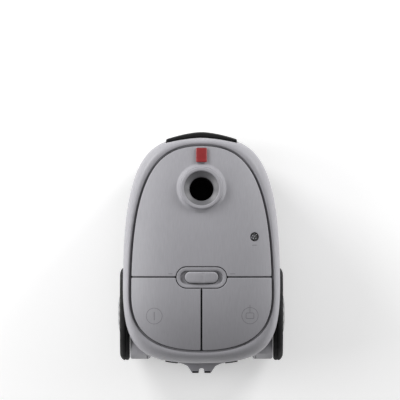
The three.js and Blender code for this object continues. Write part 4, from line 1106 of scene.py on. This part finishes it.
def seam_rails():
    """Moulded bars under the two straight gaps, so that no light falls through them."""
    for s in (1, -1):
        xs = np.linspace(46, 119, 30)
        rows = [level(np.column_stack([s * xs, np.full(30, y)]), lambda x, z: top_at(x, SEAM_Y) - 8)
                for y in (SEAM_Y - 1.2, SEAM_Y + 1.2)]
        rows += [rows[1] - (0, 0, 4), rows[0] - (0, 0, 4)]
        strip("seam_rail", rows)
    ys = np.linspace(-63.5, -170.5, 30)
    rows = [level(np.column_stack([np.full(30, x), ys]), lambda x, y: top_at(0, y) - 8)
            for x in (-1.1, 1.1)]
    rows += [rows[1] - (0, 0, 4), rows[0] - (0, 0, 4)]
    strip("seam_rail", rows)


def strip(name, rows):
    """A bar through four lines of points, which are its long edges."""
    made = loft(name, np.swapaxes(np.array(rows), 0, 1), groove_black, None, "", closed=False)
    return finish_piece(made, "chassis", "black_plastic")


def pedal_icons():
    """Icons of thin lines: a ring with a bar for power, a ring with a plug for the rewind. Their darker
    grey is painted shade: the icons are engraved, and it stands for the shade in the grooves.
    """
    ribbon("power_ring", ring(-82.1, -110, 13.8, 72), 0.8, top_at, print_and_groove_shade, "power_button", "grey_shell",
           closed=True)
    line = [(-82.1, y) for y in np.linspace(-117.3, -102.7, 12)]
    ribbon("power_bar", line, 1.1, top_at, print_and_groove_shade, "power_button", "grey_shell")
    ribbon("rewind_ring", ring(84.2, -109.3, 14.2, 72), 0.8, top_at, print_and_groove_shade, "rewind_button",
           "grey_shell", closed=True)
    body = rounded_box(77.4, 91, -114.2, -104.6, 1.6, 0.6)
    ribbon("plug_body", body, 0.9, top_at, print_and_groove_shade, "rewind_button", "grey_shell", closed=True)
    cord = [(84.2, y) for y in np.linspace(-104.6, -90.5, 14)]
    ribbon("plug_cord", cord, 0.9, top_at, print_and_groove_shade, "rewind_button", "grey_shell")


def lid_marks():
    """A short bar beside each end of the slider, and one behind the indicator."""
    for x, long in ((-54, 7), (54, 9)):
        line = [(x - long / 2 + k, -36.6) for k in np.linspace(0, long, 10)]
        ribbon("slider_mark", line, 1.0, top_at, print_and_groove_shade, "lid_body", "grey_shell")
    line = [(LENS_X + k, LENS_Y - 14.5) for k in np.linspace(-4, 4, 10)]
    ribbon("indicator_mark", line, 1.0, top_at, print_and_groove_shade, "lid_body", "grey_shell")


def bezel():
    profile = [(0, -24.9), (0, 0), (-3, -0.2), (-6, -0.9), (-6.6, -4.4), (-14.6, -4.8), (-14.6, -6.4),
               (-2.4, -6.4), (-2.4, -24.9)]
    profile = filleted(profile, 0.9, 5)
    loops = [level(stadium(BEZEL_LONG, BEZEL_WIDE, BEZEL_Y, g), lambda x, y, h=h: top_at(x, y) + h)
             for g, h in profile]
    loft("bezel", loops, *FIXED_GREY, ["bezel"], sharp=50)
    high = float(top_at(0, BEZEL_Y))
    for x0, x1 in ((14, 29.5), (-29.5, -14)):
        block("slider_floor", (x0, BEZEL_Y - 3.6, high - 6.5), (x1, BEZEL_Y + 3.6, high - 5.3),
              *FIXED_GREY, edge=0.3)


def knob_line(grow):
    """The slider seen from above: its front edge is straight and its rear edge bulges."""
    middle = BEZEL_Y + 0.85
    line = stadium(29, 9.3, middle, grow)
    bulge = 1.7 * np.clip(1 - (line[:, 0] / 29) ** 2, 0, 1)
    line[:, 1] -= bulge * np.clip((middle - line[:, 1]) / 9.3, 0, 1)
    return line


def knob():
    """An arched slider with a shallow dip for the finger, on a black skirt. The skirt is painted shadow: it
    stands for the dark gap round the slider.
    """
    high = float(top_at(0, BEZEL_Y))
    profile = [(0, -2.8), (0, 0.6), (-0.15, 1.4), (-0.6, 2.2), (-1.4, 2.9)]
    profile += [(g, 3.7 - 0.0125 * (g + 8) ** 2) for g in (-2.4, -3.6, -4.8, -6, -7.2, -8.4, -9.29)]
    loops = []
    for grow, h in profile:
        line = knob_line(grow)
        arch = 4.0 * (np.abs(line[:, 0]) / 29) ** 1.7 * (h + 2.8) / 6.4
        dip = 0.7 * np.exp(-(((line[:, 0] - 2.5) / 3.5) ** 2)) * smooth((-grow - 1) / 2)
        loops.append(level(line, high + h - arch - dip))
    loft("speed_knob", loops, shell, "knob", "grey_shell", ["speed_knob"], closed=False, sharp=60)
    # painted shadow: a black skirt just past the slider's outline, standing for the dark gap round it
    prism("knob_shadow_skirt", knob_line(0.8), high - 4.5, high - 2.7, black, "knob", "black_plastic")
    block("knob_stem", (-6, BEZEL_Y - 2, high - 14), (6, BEZEL_Y + 2, high - 4), black, "knob",
          "black_plastic")


# ---------------------------------------------------------------- wheels
def wheels():
    r = WHEEL_R
    tyre = [(r - 13, 125), (r - 4, 125), (r - 0.9, 126.8), (r, 129.6), (r, 131.2), (r - 1.1, 131.6),
            (r - 1.1, 132.6), (r, 133), (r, 134.6), (r - 1.6, 137.8), (r - 5.2, 140.4), (r - 9, 141.8),
            (r - 13, 142.2)]
    e = r - 13.3
    hub = [(0, 142.6), (6.3, 142.6), (6.3, 125), (12, 125), (12, 135), (e - 3, 135), (e - 3, 125),
           (e, 125), (e, 141.6), (e - 5, 142.2), (e - 9, 140.6), (e * 0.55, 142), (24, 143.8), (19, 144.8),
           (0, 145)]
    for side, word in ((1, "right"), (-1, "left")):
        at, axis = (0, WHEEL_Y, WHEEL_R), (side, 0, 0)
        body = "wheel_" + word
        lathe("tyre_" + word, filleted(tyre, 0.7, 3), at, axis, tread, body, "black_rubber",
              ["tyre_" + word], steps=160)
        lathe("hub_" + word, filleted(hub, 0.9, 4, closed=False), at, axis, hub_gloss, body,
              "black_gloss", ["hub_" + word], steps=160, wave=spokes)
        lathe("hub_ring_" + word, filleted([(57, 139), (59.6, 139), (59.6, 141.9), (57, 141.7)], 0.6), at,
              axis, hub_satin, body, "black_gloss", steps=128)


def spokes(r, h, angle):
    """Twelve shallow flutes on the outer face of a hub."""
    if h < 138 or not 20 < r < 58:
        return 0 * angle
    depth = 1.5 * sin(pi * (r - 20) / 38)
    return -depth * np.clip(np.cos(12 * angle) * 1.6, 0, 1)


def caster():
    y = CASTER_Y - CASTER_TRAIL
    r, h = CASTER_R, 11
    wheel = [(2.5, -h), (r - 6, -h), (r - 5, -h + 1.2), (r - 3, -h + 0.2), (r - 0.6, -h + 2.4),
             (r, -h + 5), (r, h - 5), (r - 0.6, h - 2.4), (r - 3, h - 0.2), (r - 5, h - 1.2), (r - 6, h),
             (2.5, h)]
    lathe("caster_wheel", filleted(wheel, 0.8), (0, y, r), (1, 0, 0), black_soft, "caster_roller",
          "black_rubber", ["caster_wheel"], steps=96)
    pieces = [rod("caster_fork", (0, CASTER_Y, 44.4), (0, CASTER_Y, 49), 30, black, None, "", edge=1.2,
                  steps=96),
              rod("post", (0, CASTER_Y, 47), (0, CASTER_Y, 62), 5, black, None, "")]
    side = [(y + 29, 46), (y - 12, 46), (y - 9, 18), (y, 13), (y + 9, 17)]
    stand = ((0, 0, 1), (1, 0, 0), (0, 1, 0))
    for s in (1, -1):
        line = resampled(filleted(side, 5, 8), 1.2)
        line = line[::-1] if turns_left(line) else line
        pieces.append(prism("arm", line, min(s * 12, s * 15), max(s * 12, s * 15), black, None, "",
                            edge=0.8, matrix=stand))
    fork = joined(pieces)
    outward(fork)
    shade(fork, 40)
    finish_piece(fork, "caster", "black_plastic", ["caster_fork"])


# ---------------------------------------------------------------- bag bay
def bay_frame():
    line = moved(GROOVE_LINE, 3.4)
    front = line[line[:, 1] > -37]
    front = np.roll(front, -np.argmax(front[:, 1]), 0)
    right, left = front[front[:, 0] >= 0], front[front[:, 0] < 0]
    edge_x = right[-1][0]
    meet = degrees(asin((-37 - BEZEL_Y) / (BEZEL_WIDE + 0.6)))
    bite = bezel_curve(meet, 180 - meet) * (0.994, 1)
    outline = resampled(np.vstack([right, [(edge_x, -37)], bite, [(-edge_x, -37)], left]), 1.4)
    hole = BAY_LINE.copy()
    near = (np.abs(hole[:, 0]) < 10.2) & (hole[:, 1] > 140)
    hole[near, 1] = 182.5
    hole = resampled(hole, 1.4)
    panel("bay_frame", outline, [hole], lambda x, y: top_at(x, y) - 10.6, WALL, 0.5, groove_black,
          "chassis", "black_plastic", ["bay_frame"], spacing=4)


def plate_cutter(radius, low, high):
    return cutting_rod(INLET_AT + INLET_AXIS * low, INLET_AT + INLET_AXIS * high, radius, 72)


def tilted_plate(name, half_x, half_y, radius, h, thick, material):
    """A plate square to the inlet, centred on it."""
    turn = turn_to(INLET_AXIS)
    plate = prism(name, rounded_box(-half_x, half_x, -half_y, half_y, radius), -thick / 2, thick / 2,
                  material, None, "", edge=min(0.5, thick / 4))
    plate.data.transform(turn.to_4x4())
    plate.data.transform(Matrix.Translation((INLET_AT + INLET_AXIS * h) * MM))
    return plate


def bag_parts():
    collar = tilted_plate("bag_collar", 52, 46, 5, -49, 2.4, card)
    carved(collar, [plate_cutter(22.8, -56, -40)])
    finish_piece(collar, "chassis", "card", ["bag_collar"])
    seal = [(19.4, -47.5), (24, -47.5), (24, -46.5), (19.4, -46.5)]
    lathe("bag_seal", filleted(seal, 0.3), INLET_AT, INLET_AXIS, *FIXED_RUBBER,
          ["bag_seal"], steps=72)


def bag_valve():
    """The rubber flap that closes the mouth of the bag."""
    ends = [INLET_AT + INLET_AXIS * h for h in (-49.6, -48.4)]
    rod("bag_valve", *ends, 22.4, flap_rubber, "chassis", "black_rubber", steps=72)


def dust_bag():
    """The filter bag: the CAD pillow inflated as cloth."""
    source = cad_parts["dust_bag"]
    made = source.copy()
    made.data = source.data.copy()
    made.name = "dust_bag_cloth"
    made.parent = None
    made.matrix_world = source.matrix_world
    bpy.context.collection.objects.link(made)
    made.hide_render = False
    made.hide_viewport = False
    made.data.materials.clear()
    made.data.materials.append(bag_cloth)
    remesh = made.modifiers.new("remesh", "REMESH")
    remesh.mode = "VOXEL"
    remesh.voxel_size = 5 * MM
    settle(made)
    rest = np.array([v.co for v in made.data.vertices])
    inflate(made, rest)
    smoother = made.modifiers.new("smooth", "SUBSURF")
    smoother.levels = 1
    settle(made, 60)
    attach(made, "chassis")
    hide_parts("dust_bag")
    return made


def inflate(piece, rest):
    """Cloth simulation under light pressure, with every point kept within 4 mm of where it began."""
    cloth = piece.modifiers.new("cloth", "CLOTH")
    cloth.settings.use_pressure = True
    cloth.settings.uniform_pressure_force = 3.0
    cloth.settings.effector_weights.gravity = 0
    cloth.settings.tension_stiffness = 40
    cloth.settings.compression_stiffness = 6
    cloth.settings.bending_stiffness = 0.4
    cloth.settings.shrink_min = -0.04
    for f in range(1, 21):
        bpy.context.scene.frame_set(f)
    settle(piece)
    now = np.array([v.co for v in piece.data.vertices])
    step = now - rest
    far = np.linalg.norm(step, axis=1)
    step *= np.minimum(1, 0.004 / np.maximum(far, 1e-9))[:, None]
    now = held_back(piece, rest + step)
    piece.data.vertices.foreach_set("co", now.ravel())
    piece.data.update()
    bpy.context.scene.frame_set(1)


def held_back(piece, points):
    """The points, with those past the card collar pushed back behind it."""
    axis = np.array(INLET_AXIS)
    start = np.array(INLET_AT) * MM - np.array(piece.matrix_world.translation)
    past = np.maximum(0, (points - start) @ axis + 51 * MM)
    return points - past[:, None] * axis


# ---------------------------------------------------------------- CAD nodes that stay, with their finish
KEPT = {
    steel: ["latch_pin", "hinge_pin_right", "hinge_pin_left", "pedal_shaft_left", "pedal_shaft_right",
            "pedal_spring_left", "pedal_spring_right", "axle_left", "axle_right", "caster_pin",
            "fan_cover", "impeller", "rotor", "reel_pin", "lever_pin"],
    black: ["rear_deck", "speed_pot", "power_switch", "bag_holder", "bulkhead", "motor_frame",
            "reel_spring_case"],
    white: ["reel_drum", "brake_lever"],
    shell: ["indicator_flag"],
    black_soft: ["motor_seal"],
    filter_cloth: ["exhaust_filter", "motor_filter"],
    board: ["control_board"],
}


def dress_kept_nodes():
    for material, names in KEPT.items():
        for name in names:
            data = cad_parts[name].data
            data.materials.clear()
            data.materials.append(material)


# ---------------------------------------------------------------- stage
def stage():
    floor_material = Nodes("floor", (0.93, 0.93, 0.93), 0.8)
    floor_material.set(floor_material.shader, "Emission Color", (1, 1, 1, 1))
    floor_material.set(floor_material.shader, "Emission Strength", 0.3)
    floor = add("floor", [(-4000, -4000, 0), (4000, -4000, 0), (4000, 4000, 0), (-4000, 4000, 0)],
                [(0, 1, 2, 3)], floor_material.material, None, "")
    world = bpy.data.worlds.new("studio")
    bpy.context.scene.world = world
    world.use_nodes = True
    world.node_tree.nodes["Background"].inputs["Color"].default_value = (1, 1, 1, 1)
    world.node_tree.nodes["Background"].inputs["Strength"].default_value = 0.2
    lamp("front left", (-1.4, 1.4, 0.8), 0.8, 23)
    lamp("front right", (1.4, 1.4, 0.9), 0.8, 20)
    lamp("left", (-1.9, -0.1, 0.9), 1.0, 13)
    lamp("right", (1.8, 0.2, 0.7), 0.8, 9)
    lamp("high left", (-1.6, 0.2, 1.6), 1.0, 8)
    bpy.context.scene.view_settings.view_transform = "Standard"


def lamp(name, at, size, power):
    data = bpy.data.lights.new(name, "AREA")
    data.shape = "SQUARE"
    data.size = size
    data.energy = power
    made = bpy.data.objects.new(name, data)
    bpy.context.collection.objects.link(made)
    made.location = at
    aim = Vector((0, 0, 0.12)) - Vector(at)
    made.rotation_euler = aim.to_track_quat("-Z", "Y").to_euler()


def camera():
    """A long lens far above: almost no perspective, and 0.7 m across at the machine."""
    data = bpy.data.cameras.new("camera")
    data.lens = 1285
    made = bpy.data.objects.new("camera", data)
    bpy.context.collection.objects.link(made)
    made.location = (-0.0026, 0.0915, 25.0)
    bpy.context.scene.camera = made


upper_shell()
base_shell()
wheel_wells()
caster_pocket()
inner_supports()
underside()
rear_corner(1)
rear_corner(-1)
exhaust_cover()
cord_gland()
carry_handle()
handle_recess()
lid()
inlet()
latch()
indicator()
pedals()
pedal_icons()
seam_rails()
lid_marks()
bezel()
knob()
wheels()
caster()
bay_frame()
bag_parts()
bag_valve()
dust_bag()
dress_kept_nodes()
stage()
camera()
